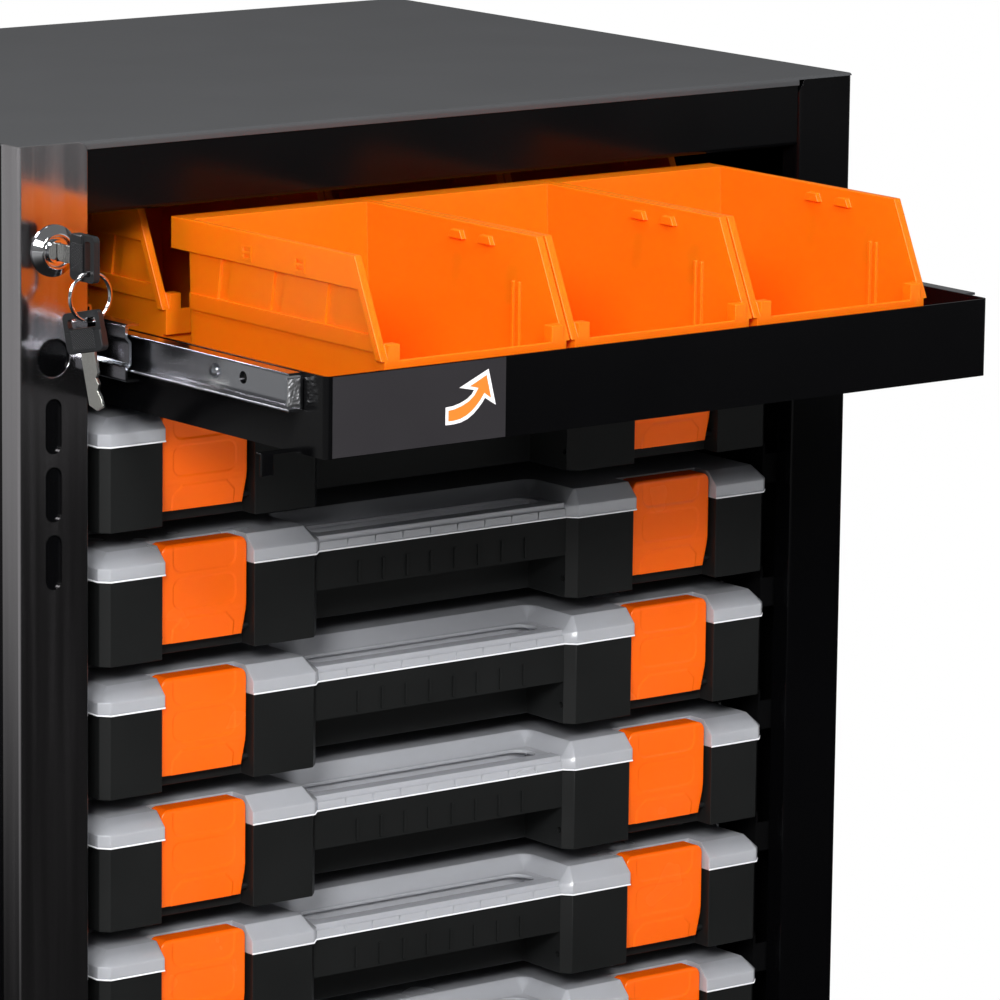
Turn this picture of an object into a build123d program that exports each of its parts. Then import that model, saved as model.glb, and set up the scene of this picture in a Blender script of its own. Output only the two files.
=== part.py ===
"""Parts bin cabinet: a steel cabinet with a bin drawer on ball-bearing slides over six
organiser cases on runners, closed by a lock on a bright trim bar. Lengths in millimetres.

Frame: X to the right, Y to the back, Z up; the origin is the centre of the base face."""
from build123d import *
from math import atan2, cos, degrees, radians, sin
import os

os.makedirs("parts", exist_ok=True)

# --- driving dimensions: cabinet ---------------------------------------------------------
depth = 385.0
upright_depth = 40.8  # from the uprights' inner face to the cabinet's side
runner_gap = 6.2  # between a case and the uprights
sheet = 1.2  # cabinet sheet steel
bend = 1.6  # centre-line bend radius of the sheet
lip_drop = 4.0  # rolled lip of the top panel
stile_width = 34.5
stile_return = 12.0
rear_flange = 15.0
rail_height = 34.5
rail_return = 13.0
kick_height = 22.0
relief_run = 3.5  # fold relief at the inner top corner of each stile
relief_drop = 7.0
joint_gap = 0.2  # gap left between folded sheets that don't touch

# --- bin drawer ----------------------------------------------------------------------------
tray_length = 347.0
tray_height = 37.5
tray_sheet = 1.0
tray_corner = 3.0
tray_top_drop = 87.5  # cabinet top down to the tray's upper edge
extension = 165.0  # how far the drawer stands open at rest
window_setback = 13.0
window_length = 12.5
window_height = 14.0
window_drop = 3.5
window_depth = 0.5  # the side windows are pressed in, not cut through
label_width = 97.0
label_thickness = 0.3
label_margin = 0.4
keeper_gap = 1.0  # keeper behind the lock finger when the drawer is shut
keeper_clear = 0.5  # keeper in front of the upright when the drawer is shut
keeper_past = 1.8  # keeper past the uprights' inner face
keeper_hold = 11.5  # keeper under the tray
keeper_drop = 10.5
keeper_gauge = 2.0
keeper_side = 1.5  # between the keeper and the case below

# --- drawer slides -------------------------------------------------------------------------
slide_space = 12.7  # gap between tray and runner uprights that the slides fill
slide_drop = 96.5  # cabinet top down to the slide's centre line
slide_gauge = 1.2
slide_bend = 1.0
outer_height = 35.2
middle_height = 27.2
inner_height = 17.6
outer_depth = 9.1  # how far the outer member's lips stand out from the upright
outer_hook = 2.8
middle_offset = 3.2  # middle member's web from the upright
middle_reach = 10.4
inner_reach = 4.8
dish = 2.2  # how far the middle member's web is pressed in
web_hole = 2.9
web_hole_setback = 44.0
slide_length = 300.0
middle_length = 270.0
outer_setback = 16.0
middle_lead = 22.0  # the middle member stands out of the cabinet by this at rest
inner_setback = 18.0  # inner member's front end, behind the tray's front
tray_screw_setbacks = (84.0, 265.0)

# --- organiser cases -----------------------------------------------------------------------
case_count = 6
case_pitch = 64.0
case_width = 406.0
case_depth = 330.0
case_height = 54.0
case_setback = 1.6  # case front behind the stile face
case_corner = 4.5
tray_to_case = 7.0
lowest_case = 34.0  # underside of the lowest case above the base face
skirt_bottom = 40.5
skirt_top = 47.0
lid_wall = 1.8
lid_fit = 0.3
base_inset = 1.0
base_wall = 2.0
rim_wall = 1.5
rim_top = 46.6
grip_half = 75.0  # half width of the handle recess
grip_depth = 34.0
block_chamfer = 5.0
strip_setback = 4.5
strip_depth = 9.0
strip_top = 48.0
grip_bottom = 21.5
hole_half = 70.0
well_floor = 45.6  # floor of the lid's handle recess above the case's underside
hole_width = 17.0
rib_count = 8
rib_pitch = 14.5
rib_width = 1.4
rib_proud = 0.9
rib_height = 10.5
cell_pitch = 16.6
cell_groove = 0.9
notch_centre = 142.0
notch_width = 51.0
notch_depth = 10.5

# --- case latches --------------------------------------------------------------------------
latch_width = 49.2
latch_face = 4.5
latch_wall = 2.8
latch_top = 53.6
latch_reach = 15.4
latch_bottom = 5.8
latch_bend = 18.0  # above the case's underside, where the latch slants back
latch_slant = 1.7
latch_taper = 1.3  # how far the lower corners are drawn in
hook_wall = 2.2
latch_round = 2.0
latch_corner = 4.5
recess_width = 33.5
recess_height = 12.0
recess_up = 44.6
recess_depth = 0.4
recess_corner = 4.0
latch_pocket_floor = 50.9
latch_pocket_depth = 17.0
pivot_back = 7.3
pivot_up = 9.4
pivot_boss = 2.8
pin_radius = 1.5
pin_play = 0.15
pin_engagement = 3.0

# --- runners -------------------------------------------------------------------------------
upright_width = 24.0
front_upright = 34.0
rear_upright = 272.0
upright_top_drop = 66.0
runner_gauge = 1.5
runner_shelf = 15.0  # how far the shelf reaches under the case
runner_drop = 22.0
runner_setback = 13.5
runner_length = 320.0
tab_width = 12.4
tab_top = 7.0
screw_head = 3.5
screw_head_height = 1.8
screw_shank = 2.0
screw_length = 6.0
screw_play = 0.2

# --- bins ----------------------------------------------------------------------------------
bin_columns = 3
bin_rows = 2
bin_pitch = 108.5
bin_row_pitch = 171.5
bin_width = 107.5
bin_length = 165.0
bin_height = 84.5
bin_wall = 2.0
bin_setback = 5.5  # bin front behind the tray's front
rim_height = 15.0
rim_proud = 2.0
lip_height = 39.0
lip_band = 12.0
lip_step = 3.0
slant_run = 21.0
back_bottom = 150.0
back_top = 153.5
edge_flange = 4.5
ledge_low = 42.5
ledge_high = 50.0
ledge_proud = 1.0
groove_starts = (38.0, 80.0, 122.0)
groove_width = 8.0
groove_depth = 1.3
lug_starts = (52.0, 74.0)
lug_length = 11.0
lug_proud = 2.5
clip_starts = (58.5, 100.0)
clip_width = 8.0
clip_height = 7.0
rib_starts = (32.0, 36.5)
corner_block = 6.5

# --- trim bar and lock ---------------------------------------------------------------------
bar_gauge = 1.5
bar_return = 13.0
bar_corner = 5.0
bar_bend = 0.76  # the bar is folded sharp
bar_width = 36.5
lock_in = 17.5  # lock axis from the cabinet's left side
lock_drop = 49.0
round_drop = 50.0  # round hole below the lock axis
round_radius = 9.0
slot_drop = 82.0  # first slot's centre below the lock axis
slot_pitch = 32.0
slot_count = 3
bar_slot_long = 26.0
bar_slot_wide = 9.0
bezel_radius = 12.15
bezel_height = 4.0
barrel_radius = 9.25
barrel_back = 20.0
plug_radius = 5.5
plug_play = 0.1
nut_across = 24.0
nut_height = 4.0
cam_gauge = 2.0
crank = 10.0
crank_pin = 2.0
crank_pin_length = 6.0
rod_setback = 25.5
rod_gauge = 2.0
rod_travel = 10.0
rod_width = 15.0
rod_head_width = 25.0
rod_head_height = 20.0
finger_height = 8.0
finger_gap = 1.9  # between the slide above and the finger
bracket_setback = 22.5
bracket_height = 48.0
bracket_flange = 11.0
bracket_reach = 8.0
guide_drops = (30.0, 58.0)  # shoulder pins below the lock axis
guide_pin = 2.5
guide_head = 4.5

# --- keys ----------------------------------------------------------------------------------
head_long = 19.0
head_across = 21.5
head_thick = 5.0
head_thin = 3.2
head_start = 18.0  # key head in front of the stile face
blade_thick = 2.0
blade_across = 8.0
blade_length = 27.0
slot_across = 4.6
slot_edge = 2.6
ring_radius = 11.0
wire = 1.0
hang = 3.1  # ring wire above the centre of the slot's edge
spare_turn = 18.0
spare_lean = 12.0
spare_shift = 4.0  # the wire sits towards the front end of the spare's slot
slot_lift = -0.5  # spare's slot centre against the wire's lowest point

# --- derived places ------------------------------------------------------------------------
slide_back = case_width / 2 + runner_gap
half = slide_back + upright_depth
width = 2 * half
front = -depth / 2
back = depth / 2
skin = sheet / 2
height = (
    lowest_case + (case_count - 1) * case_pitch + case_height
    + tray_to_case + tray_height + tray_top_drop
)
stile_in = half - stile_width
tray_half = slide_back - slide_space
tray_width = 2 * tray_half
tray_front = front - extension
tray_top = height - tray_top_drop
tray_floor = tray_top - tray_height
slide_z = height - slide_drop
case_front = front + case_setback
case_floors = [lowest_case + i * case_pitch for i in reversed(range(case_count))]
uprights = [front + front_upright, front + rear_upright]
upright_mid = [y + upright_width / 2 for y in uprights]
lock_x = -half + lock_in
lock_z = height - lock_drop
screw_drop = (tab_top + runner_drop) / 2


def facing(y):
    """The plane across the cabinet at depth y; a negative extrusion runs to the back."""
    return Plane.XZ.offset(-y)


def sheet_profile(points, gauge=sheet, radius=bend):
    """A folded sheet's section from its centre-line points, inside a BuildSketch."""
    with BuildLine() as path:
        FilletPolyline(*points, radius=radius)
    trace(path.line, line_width=gauge)


def save(part, name):
    """Label a finished piece and write its file."""
    part.label = name
    export_step(part, f"parts/{name}.step")


# --- cabinet shell -------------------------------------------------------------------------
with BuildPart() as side_right:
    with BuildSketch(Plane.XY.offset(sheet)):
        sheet_profile([
            (stile_in + skin, front + stile_return),
            (stile_in + skin, front + skin),
            (half - skin, front + skin),
            (half - skin, back - skin),
            (half - rear_flange, back - skin),
        ])
    extrude(amount=height - 2 * sheet)
    with BuildSketch(facing(front - sheet)):
        with BuildLine():
            Polyline(
                (stile_in - sheet, height),
                (stile_in + relief_run, height),
                (stile_in - sheet, height - sheet - relief_drop * (1 + sheet / relief_run)),
                close=True,
            )
        make_face()
    extrude(amount=-(stile_return + 2 * sheet), mode=Mode.SUBTRACT)

with BuildPart() as side_left:
    add(side_right.part.mirror(Plane.YZ))
    with BuildSketch(facing(front - sheet)):
        with Locations((lock_x, lock_z)):
            Circle(barrel_radius + screw_play)
    extrude(amount=-3 * sheet, mode=Mode.SUBTRACT)

with BuildPart() as top_panel:
    with BuildSketch(Plane.YZ.offset(-half)):
        sheet_profile([
            (front + skin, height - lip_drop),
            (front + skin, height - skin),
            (back - skin, height - skin),
            (back - skin, height - lip_drop),
        ])
    extrude(amount=width)
    lip_cuts = [
        (front, stile_in - joint_gap, stile_width + joint_gap),
        (back, half - rear_flange - joint_gap, rear_flange + joint_gap),
    ]
    for edge, inner, reach in lip_cuts:
        for hand in (-1, 1):
            with Locations((hand * (inner + reach / 2), edge, height - sheet)):
                Box(
                    reach, 8 * sheet, 2 * lip_drop,
                    align=(Align.CENTER, Align.CENTER, Align.MAX), mode=Mode.SUBTRACT,
                )

rail_face = front + sheet + joint_gap
with BuildPart() as top_rail:
    with BuildSketch(Plane.YZ.offset(-stile_in)):
        sheet_profile([
            (rail_face + skin, height - 2 * sheet),
            (rail_face + skin, height - rail_height + skin),
            (rail_face + rail_return, height - rail_height + skin),
            (rail_face + rail_return, height - rail_height + 5 * sheet),
        ])
    extrude(amount=2 * stile_in)

with BuildPart() as bottom_panel:
    with Locations((0, 0, skin)):
        Box(width, depth, sheet)
    with BuildSketch(Plane.YZ.offset(-stile_in)):
        sheet_profile([
            (front + stile_return, skin),
            (front + skin, skin),
            (front + skin, kick_height),
            (front + stile_return, kick_height),
        ])
    extrude(amount=2 * stile_in)

with BuildPart() as back_panel:
    with Locations((0, back - sheet - skin, height / 2)):
        Box(width - 4 * sheet, sheet, height - 2 * sheet - 2 * bend)

# --- uprights and case runners ---------------------------------------------------------------
screw_spots = [(y, floor - screw_drop) for y in upright_mid for floor in case_floors]
slide_spots = [(y, slide_z) for y in upright_mid]

with BuildPart() as runner_uprights:
    for y in uprights:
        with BuildSketch(Plane.XY.offset(sheet)):
            sheet_profile([
                (half - sheet, y + skin),
                (slide_back + skin, y + skin),
                (slide_back + skin, y + upright_width - skin),
                (half - sheet, y + upright_width - skin),
            ])
        extrude(amount=height - upright_top_drop - sheet)
    with BuildSketch(Plane.YZ.offset(slide_back - sheet)):
        with Locations(*screw_spots, *slide_spots):
            Circle(screw_shank + screw_play)
    extrude(amount=3 * sheet, mode=Mode.SUBTRACT)
    mirror(about=Plane.YZ)

with BuildPart() as case_runners:
    leg = slide_back - runner_gauge / 2
    for floor in case_floors:
        with BuildSketch(facing(front + runner_setback)):
            sheet_profile([
                (case_width / 2 - runner_shelf, floor - runner_gauge / 2),
                (leg, floor - runner_gauge / 2),
                (leg, floor - runner_drop),
            ], gauge=runner_gauge)
        extrude(amount=-runner_length)
        with Locations((slide_back, front + runner_setback, floor - tab_top)):
            Box(
                tab_width, runner_gauge, runner_drop - tab_top,
                align=(Align.MIN, Align.MIN, Align.MAX),
            )
    with BuildSketch(Plane.YZ.offset(slide_back - 3 * runner_gauge)):
        with Locations(*screw_spots):
            Circle(screw_shank + screw_play)
    extrude(amount=4 * runner_gauge, mode=Mode.SUBTRACT)
    mirror(about=Plane.YZ)

with BuildPart() as frame_screws:
    # runner screws: head inside the runner's leg, shank out through the upright
    for spots, seat in ((screw_spots, slide_back - runner_gauge), (slide_spots, slide_back - slide_gauge)):
        with BuildSketch(Plane.YZ.offset(seat - screw_head_height)):
            with Locations(*spots):
                Circle(screw_head)
        extrude(amount=screw_head_height)
        with BuildSketch(Plane.YZ.offset(seat)):
            with Locations(*spots):
                Circle(screw_shank)
        extrude(amount=screw_length)
    mirror(about=Plane.YZ)

# --- drawer slides ---------------------------------------------------------------------------
outer_lip = slide_back - outer_depth
outer_web = slide_back - slide_gauge / 2
outer_rise = (outer_height - slide_gauge) / 2
middle_web = slide_back - middle_offset
middle_tip = slide_back - middle_reach
middle_rise = (middle_height - slide_gauge) / 2
inner_web = tray_half + slide_gauge / 2
inner_tip = slide_back - inner_reach
inner_rise = (inner_height - slide_gauge) / 2

with BuildPart() as slide_outer_right:
    with BuildSketch(facing(front + outer_setback)):
        sheet_profile([
            (outer_lip, slide_z + outer_rise - outer_hook),
            (outer_lip, slide_z + outer_rise),
            (outer_web, slide_z + outer_rise),
            (outer_web, slide_z - outer_rise),
            (outer_lip, slide_z - outer_rise),
            (outer_lip, slide_z - outer_rise + outer_hook),
        ], slide_gauge, slide_bend)
    extrude(amount=-slide_length)
    with BuildSketch(Plane.YZ.offset(slide_back - 2 * slide_gauge)):
        with Locations(*slide_spots):
            Circle(screw_shank + screw_play)
    extrude(amount=3 * slide_gauge, mode=Mode.SUBTRACT)

with BuildPart() as slide_middle_right:
    with BuildSketch(facing(front - middle_lead)):
        sheet_profile([
            (middle_tip, slide_z + middle_rise),
            (middle_web, slide_z + middle_rise),
            (middle_web, slide_z + inner_rise - slide_gauge),
            (middle_web - dish, slide_z + inner_rise - slide_gauge - dish),
            (middle_web - dish, slide_z - inner_rise + slide_gauge + dish),
            (middle_web, slide_z - inner_rise + slide_gauge),
            (middle_web, slide_z - middle_rise),
            (middle_tip, slide_z - middle_rise),
        ], slide_gauge, slide_bend)
    extrude(amount=-middle_length)

inner_front = tray_front + inner_setback
tray_screw_spots = [(tray_front + setback, slide_z) for setback in tray_screw_setbacks]
with BuildPart() as slide_inner_right:
    with BuildSketch(facing(inner_front)):
        sheet_profile([
            (inner_tip, slide_z + inner_rise),
            (inner_web, slide_z + inner_rise),
            (inner_web, slide_z - inner_rise),
            (inner_tip, slide_z - inner_rise),
        ], slide_gauge, slide_bend)
    extrude(amount=-slide_length)
    with Locations((tray_half + slide_gauge, inner_front, slide_z)):
        Box(
            inner_tip - inner_web, slide_gauge, inner_height - 4 * slide_gauge,
            align=(Align.MIN, Align.MIN, Align.CENTER),
        )
    with BuildSketch(Plane.YZ.offset(tray_half - slide_gauge)):
        with Locations(*tray_screw_spots):
            Circle(screw_shank + screw_play)
        with Locations((inner_front + web_hole_setback, slide_z)):
            Circle(web_hole)
    extrude(amount=3 * slide_gauge, mode=Mode.SUBTRACT)

# --- drawer tray -----------------------------------------------------------------------------
keeper_back = front + rod_setback + rod_gauge + keeper_gap - extension
keeper_length = front_upright - rod_setback - rod_gauge - keeper_gap - keeper_clear
keeper_out = slide_back + keeper_past
with BuildPart() as drawer_tray:
    with BuildSketch(Plane.XY.offset(tray_floor)):
        with Locations((0, tray_front + tray_length / 2)):
            RectangleRounded(tray_width, tray_length, tray_corner)
    extrude(amount=tray_height)
    with BuildSketch(Plane.XY.offset(tray_floor + tray_sheet)):
        with Locations((0, tray_front + tray_length / 2)):
            RectangleRounded(
                tray_width - 2 * tray_sheet, tray_length - 2 * tray_sheet, tray_corner - tray_sheet
            )
    extrude(amount=tray_height, mode=Mode.SUBTRACT)
    for hand in (-1, 1):
        with Locations((
            hand * tray_half,
            tray_front + window_setback + window_length / 2,
            tray_top - window_drop - window_height / 2,
        )):
            Box(2 * window_depth, window_length, window_height, mode=Mode.SUBTRACT)
    with BuildSketch(Plane.YZ.offset(-width)):
        with Locations(*tray_screw_spots):
            Circle(screw_shank + screw_play)
    extrude(amount=2 * width, mode=Mode.SUBTRACT)
    # keeper under the left side that the lock finger drops in front of
    with Locations((-keeper_out, keeper_back, tray_floor)):
        Box(
            keeper_out - tray_half + keeper_hold, keeper_length, tray_sheet,
            align=(Align.MIN, Align.MIN, Align.MAX),
        )
        Box(
            keeper_past + runner_gap - keeper_side, keeper_gauge, keeper_drop,
            align=(Align.MIN, Align.MIN, Align.MAX),
        )

with BuildPart() as drawer_label:
    label_left = -tray_half + tray_corner + label_margin
    with Locations((label_left, tray_front, tray_floor + tray_height / 2)):
        Box(
            label_width, label_thickness, tray_height - 2 * label_margin,
            align=(Align.MIN, Align.MAX, Align.CENTER),
        )

with BuildPart() as tray_screws:
    with BuildSketch(Plane.YZ.offset(tray_half + slide_gauge)):
        with Locations(*tray_screw_spots):
            Circle(screw_head)
    extrude(amount=screw_head_height)
    with BuildSketch(Plane.YZ.offset(tray_half + slide_gauge)):
        with Locations(*tray_screw_spots):
            Circle(screw_shank)
    extrude(amount=-screw_length)
    mirror(about=Plane.YZ)

# --- bins --------------------------------------------------------------------------------------
bin_left = -((bin_columns - 1) * bin_pitch + bin_width) / 2
bin_front = tray_front + bin_setback
bin_floor = tray_floor + tray_sheet
body_half = bin_width / 2 - rim_proud
bin_mid = bin_left + bin_width / 2
rim_low = bin_height - rim_height
slant = slant_run / (bin_height - lip_height)


def bin_outline(points, x_from, x_to, mode=Mode.ADD):
    """A prism across the bin between two widths, from a side outline."""
    with BuildSketch(Plane.YZ.offset(bin_mid + x_from)) as outline:
        with BuildLine():
            Polyline(*[(bin_front + y, bin_floor + z) for y, z in points], close=True)
        make_face()
    extrude(outline.sketch, amount=x_to - x_from, mode=mode)


with BuildPart() as bin_mould:
    bin_outline([
        (lip_step, 0), (lip_step, lip_height - lip_band), (0, lip_height - lip_band),
        (0, lip_height), (slant_run, bin_height), (back_top, bin_height), (back_bottom, 0),
    ], -body_half, body_half)
    for hand in (-1, 1):
        inner, outer = sorted((hand * body_half, hand * bin_width / 2))
        # rim band, and the flange down the slanted front edge
        bin_outline([
            (0, lip_height), (slant_run, bin_height), (bin_length, bin_height),
            (bin_length, rim_low), (slant * (rim_low - lip_height) + edge_flange, rim_low),
            (edge_flange, lip_height),
        ], inner, outer)
        inner, outer = sorted((hand * body_half, hand * (body_half + ledge_proud)))
        bin_outline([
            (lip_step + 4, ledge_low), (lip_step + 4, ledge_high),
            (back_bottom + 1.5, ledge_high), (back_bottom + 1, ledge_low),
        ], inner, outer)
        # three shallow grooves between the rim and the ledge
        inner, outer = sorted((hand * body_half, hand * (body_half - groove_depth)))
        for y in groove_starts:
            bin_outline([
                (y, ledge_high), (y + groove_width, ledge_high),
                (y + groove_width - 3, rim_low), (y - 3, rim_low),
            ], inner, outer, Mode.SUBTRACT)
    # rear hanger, closed above and open below
    bin_outline([
        (back_bottom, rim_low), (back_bottom, bin_height),
        (bin_length, bin_height), (bin_length, rim_low),
    ], -body_half, body_half)
    bin_outline([
        (back_top, rim_low), (back_top, bin_height - bin_wall),
        (bin_length - bin_wall, bin_height - bin_wall), (bin_length - bin_wall, rim_low),
    ], -body_half, body_half, Mode.SUBTRACT)
    # the inside
    bin_outline([
        (lip_step + bin_wall, bin_wall), (lip_step + bin_wall, lip_height - lip_band),
        (bin_wall, lip_height - lip_band + 3), (bin_wall, lip_height),
        (-bin_wall, lip_height), (-bin_wall, bin_height + 1),
        (back_top - bin_wall, bin_height + 1), (back_bottom - bin_wall, bin_wall),
    ], -body_half + bin_wall, body_half - bin_wall, Mode.SUBTRACT)
    for hand in (-1, 1):
        wall = hand * (body_half - bin_wall)
        # corner blocks of the front lip, stacking lugs, divider rib, clips on the rim
        inner, outer = sorted((wall, wall - hand * corner_block))
        bin_outline([
            (0, lip_height - 2), (0, lip_height + 7.5), (6, lip_height + 7.5), (6, lip_height - 2),
        ], inner, outer)
        inner, outer = sorted((wall, wall - hand * lug_proud))
        for y in lug_starts:
            bin_outline([
                (y, bin_height - 8), (y + 2, bin_height - 4),
                (y + lug_length - 2, bin_height - 4), (y + lug_length, bin_height - 8),
            ], inner, outer)
        inner, outer = sorted((wall, wall - hand * 1.2))
        for y in rib_starts:
            bin_outline([(y, 8), (y, 62), (y + 1.6, 62), (y + 1.6, 8)], inner, outer)
        for y in clip_starts:
            inner, outer = sorted((hand * body_half, hand * (bin_width / 2 + 0.4)))
            bin_outline([
                (y, bin_height - 6 - clip_height), (y, bin_height - 6),
                (y + clip_width, bin_height - 6), (y + clip_width, bin_height - 6 - clip_height),
            ], inner, outer)
            inner, outer = sorted((hand * (bin_width / 2 - 0.6), hand * (bin_width / 2 + 1)))
            for z in (bin_height - 11.8, bin_height - 8.9):
                bin_outline([
                    (y + 1.2, z), (y + 1.2, z + 1.8),
                    (y + clip_width - 1.2, z + 1.8), (y + clip_width - 1.2, z),
                ], inner, outer, Mode.SUBTRACT)

# --- organiser case ----------------------------------------------------------------------------
case_back = case_front + case_depth
hold = case_floors[0]  # the top case's floor; the others are copies lowered by the pitch


def case_plan(notches=True):
    """The case seen from above, inside a BuildSketch, with its handle recess."""
    with Locations((0, (case_front + case_back) / 2)):
        Rectangle(case_width, case_depth)
    chamfer(vertices(), case_corner)
    with BuildLine() as grip:
        Polyline(
            (-grip_half - block_chamfer - 1, case_front - 1),
            (-grip_half, case_front + block_chamfer),
            (-grip_half, case_front + grip_depth),
            (grip_half, case_front + grip_depth),
            (grip_half, case_front + block_chamfer),
            (grip_half + block_chamfer + 1, case_front - 1),
            close=True,
        )
    make_face(grip.edges(), mode=Mode.SUBTRACT)
    if notches:
        with Locations((-notch_centre, case_front), (notch_centre, case_front)):
            Rectangle(notch_width, 2 * notch_depth, mode=Mode.SUBTRACT)


def inset_plan(amount, level, thickness, mode=Mode.ADD):
    """A prism of the notched plan drawn in by an amount."""
    with BuildSketch(Plane.XY.offset(hold + level)) as plan:
        case_plan()
        offset(amount=-amount, kind=Kind.INTERSECTION, mode=Mode.REPLACE)
    extrude(plan.sketch, amount=thickness, mode=mode)


with BuildPart() as case_base:
    inset_plan(base_inset, 0, skirt_bottom - joint_gap)
    inset_plan(lid_wall + lid_fit, skirt_bottom - base_wall, rim_top - skirt_bottom + base_wall)
    inset_plan(
        lid_wall + lid_fit + rim_wall, base_wall, rim_top, Mode.SUBTRACT
    )
    # grip strip of the handle with its finger ribs
    with Locations((0, case_front + strip_setback + base_inset, hold + grip_bottom)):
        Box(
            2 * (grip_half + base_inset), strip_depth - base_inset,
            skirt_bottom - joint_gap - grip_bottom, align=(Align.CENTER, Align.MIN, Align.MIN),
        )
    for step in range(rib_count):
        with Locations((
            (step - (rib_count - 1) / 2) * rib_pitch, case_front + strip_setback + base_inset,
            hold + grip_bottom + rib_width,
        )):
            Box(rib_width, rib_proud, rib_height, align=(Align.CENTER, Align.MAX, Align.MIN))
    # pivot holes for the latch pins
    with BuildSketch(Plane.YZ.offset(-notch_centre - notch_width)):
        with Locations((case_front + pivot_back, hold + pivot_up)):
            Circle(pin_radius + pin_play)
    extrude(amount=2 * (notch_centre + notch_width), mode=Mode.SUBTRACT)
    # rear lower edge
    chamfer_edges = edges().filter_by(Axis.X).group_by(Axis.Z)[0].sort_by(Axis.Y)[-1]
    chamfer(chamfer_edges, base_wall / 2)

with BuildPart() as case_lid:
    top_band = case_height - skirt_top
    with BuildSketch(Plane.XY.offset(hold + skirt_bottom)):
        case_plan(notches=False)
    extrude(amount=skirt_top - skirt_bottom)
    with BuildSketch(Plane.XY.offset(hold + skirt_top)):
        case_plan(notches=False)
    extrude(amount=top_band, taper=45)
    # floor of the handle recess, with the finger hole through it
    with BuildSketch(Plane.XY.offset(hold + well_floor)):
        with Locations((0, case_front + (grip_depth + strip_setback + strip_depth) / 2)):
            Rectangle(2 * grip_half, grip_depth - strip_setback - strip_depth + 2 * lid_wall)
        with Locations((0, case_front + strip_setback + strip_depth + hole_width / 2 + lid_wall / 2)):
            SlotOverall(2 * hole_half, hole_width, mode=Mode.SUBTRACT)
    extrude(amount=lid_wall)
    # latch notches cut straight down, with a ledge for each latch's hook
    for hand in (-1, 1):
        with Locations((hand * notch_centre, case_front, hold + skirt_bottom)):
            Box(
                notch_width, 2 * notch_depth, 2 * case_height,
                align=(Align.CENTER, Align.CENTER, Align.CENTER), mode=Mode.SUBTRACT,
            )
        with Locations((hand * notch_centre, case_front, hold + latch_pocket_floor)):
            Box(
                notch_width, 2 * latch_pocket_depth, case_height,
                align=(Align.CENTER, Align.CENTER, Align.MIN), mode=Mode.SUBTRACT,
            )
    inset_plan(lid_wall, skirt_bottom - 1, skirt_top - skirt_bottom + 1, Mode.SUBTRACT)
    inset_plan(
        lid_wall + top_band, skirt_top - 1, case_height - lid_wall - skirt_top + 1, Mode.SUBTRACT
    )
    # front strip of the handle, divided into cells by fine grooves
    with Locations((0, case_front + strip_setback, hold + skirt_bottom)):
        Box(
            2 * grip_half, strip_depth, strip_top - skirt_bottom,
            align=(Align.CENTER, Align.MIN, Align.MIN),
        )
    for step in range(rib_count):
        with Locations((
            (step - (rib_count - 1) / 2) * cell_pitch, case_front + strip_setback,
            hold + skirt_bottom + cell_groove,
        )):
            Box(
                cell_groove, cell_groove, strip_top - skirt_bottom,
                align=(Align.CENTER, Align.CENTER, Align.MIN), mode=Mode.SUBTRACT,
            )
    with Locations((0, case_front + strip_setback, hold + strip_top)):
        Box(
            2 * grip_half, 2.4, 5.6, align=(Align.CENTER, Align.CENTER, Align.CENTER),
            mode=Mode.SUBTRACT,
        )

with BuildPart() as latch_mould:
    latch_mid = -notch_centre
    pivot = (case_front + pivot_back, hold + pivot_up)
    face_y = case_front + latch_face
    with BuildSketch(Plane.YZ.offset(latch_mid - latch_width / 2)):
        with BuildLine():
            Polyline(
                (face_y, hold + latch_bend),
                (face_y, hold + latch_top),
                (case_front + latch_reach, hold + latch_top),
                (case_front + latch_reach, hold + latch_top - hook_wall),
                (face_y + latch_wall, hold + latch_top - hook_wall),
                (face_y + latch_wall, hold + latch_bottom),
                (face_y + latch_slant, hold + latch_bottom),
                close=True,
            )
        make_face()
        with Locations(pivot):
            Circle(pivot_boss)
        # the boss stays behind the slanting face
        with BuildLine() as before_face:
            Polyline(
                (face_y, hold + latch_bend),
                (face_y + latch_slant, hold + latch_bottom),
                (case_front, hold + latch_bottom),
                (case_front, hold + latch_bend),
                close=True,
            )
        make_face(before_face.edges(), mode=Mode.SUBTRACT)
    extrude(amount=latch_width)
    upper_front = edges().filter_by(Axis.X).sort_by_distance((latch_mid, face_y, hold + latch_top))[0]
    fillet(upper_front, latch_round)
    # seen from the front: round upper corners, lower corners drawn in
    latch_left, latch_right = latch_mid - latch_width / 2, latch_mid + latch_width / 2
    with BuildSketch(facing(case_front)) as latch_outline:
        with BuildLine():
            Polyline(
                (latch_left, hold + latch_bend),
                (latch_left, hold + latch_top),
                (latch_right, hold + latch_top),
                (latch_right, hold + latch_bend),
                (latch_right - latch_taper, hold + latch_bottom),
                (latch_left + latch_taper, hold + latch_bottom),
                close=True,
            )
        make_face()
        fillet(latch_outline.vertices().group_by(Axis.Y)[-1], latch_corner)
    extrude(amount=-2 * latch_reach, mode=Mode.INTERSECT)
    with BuildSketch(facing(face_y)):
        with Locations((latch_mid, hold + recess_up)):
            RectangleRounded(recess_width, recess_height, recess_corner)
    extrude(amount=-recess_depth, mode=Mode.SUBTRACT)
    # the pin runs through the boss into both cheeks of the notch
    with BuildSketch(Plane.YZ.offset(latch_mid - notch_width / 2 - pin_engagement)):
        with Locations(pivot):
            Circle(pin_radius)
    extrude(amount=notch_width + 2 * pin_engagement)

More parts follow.
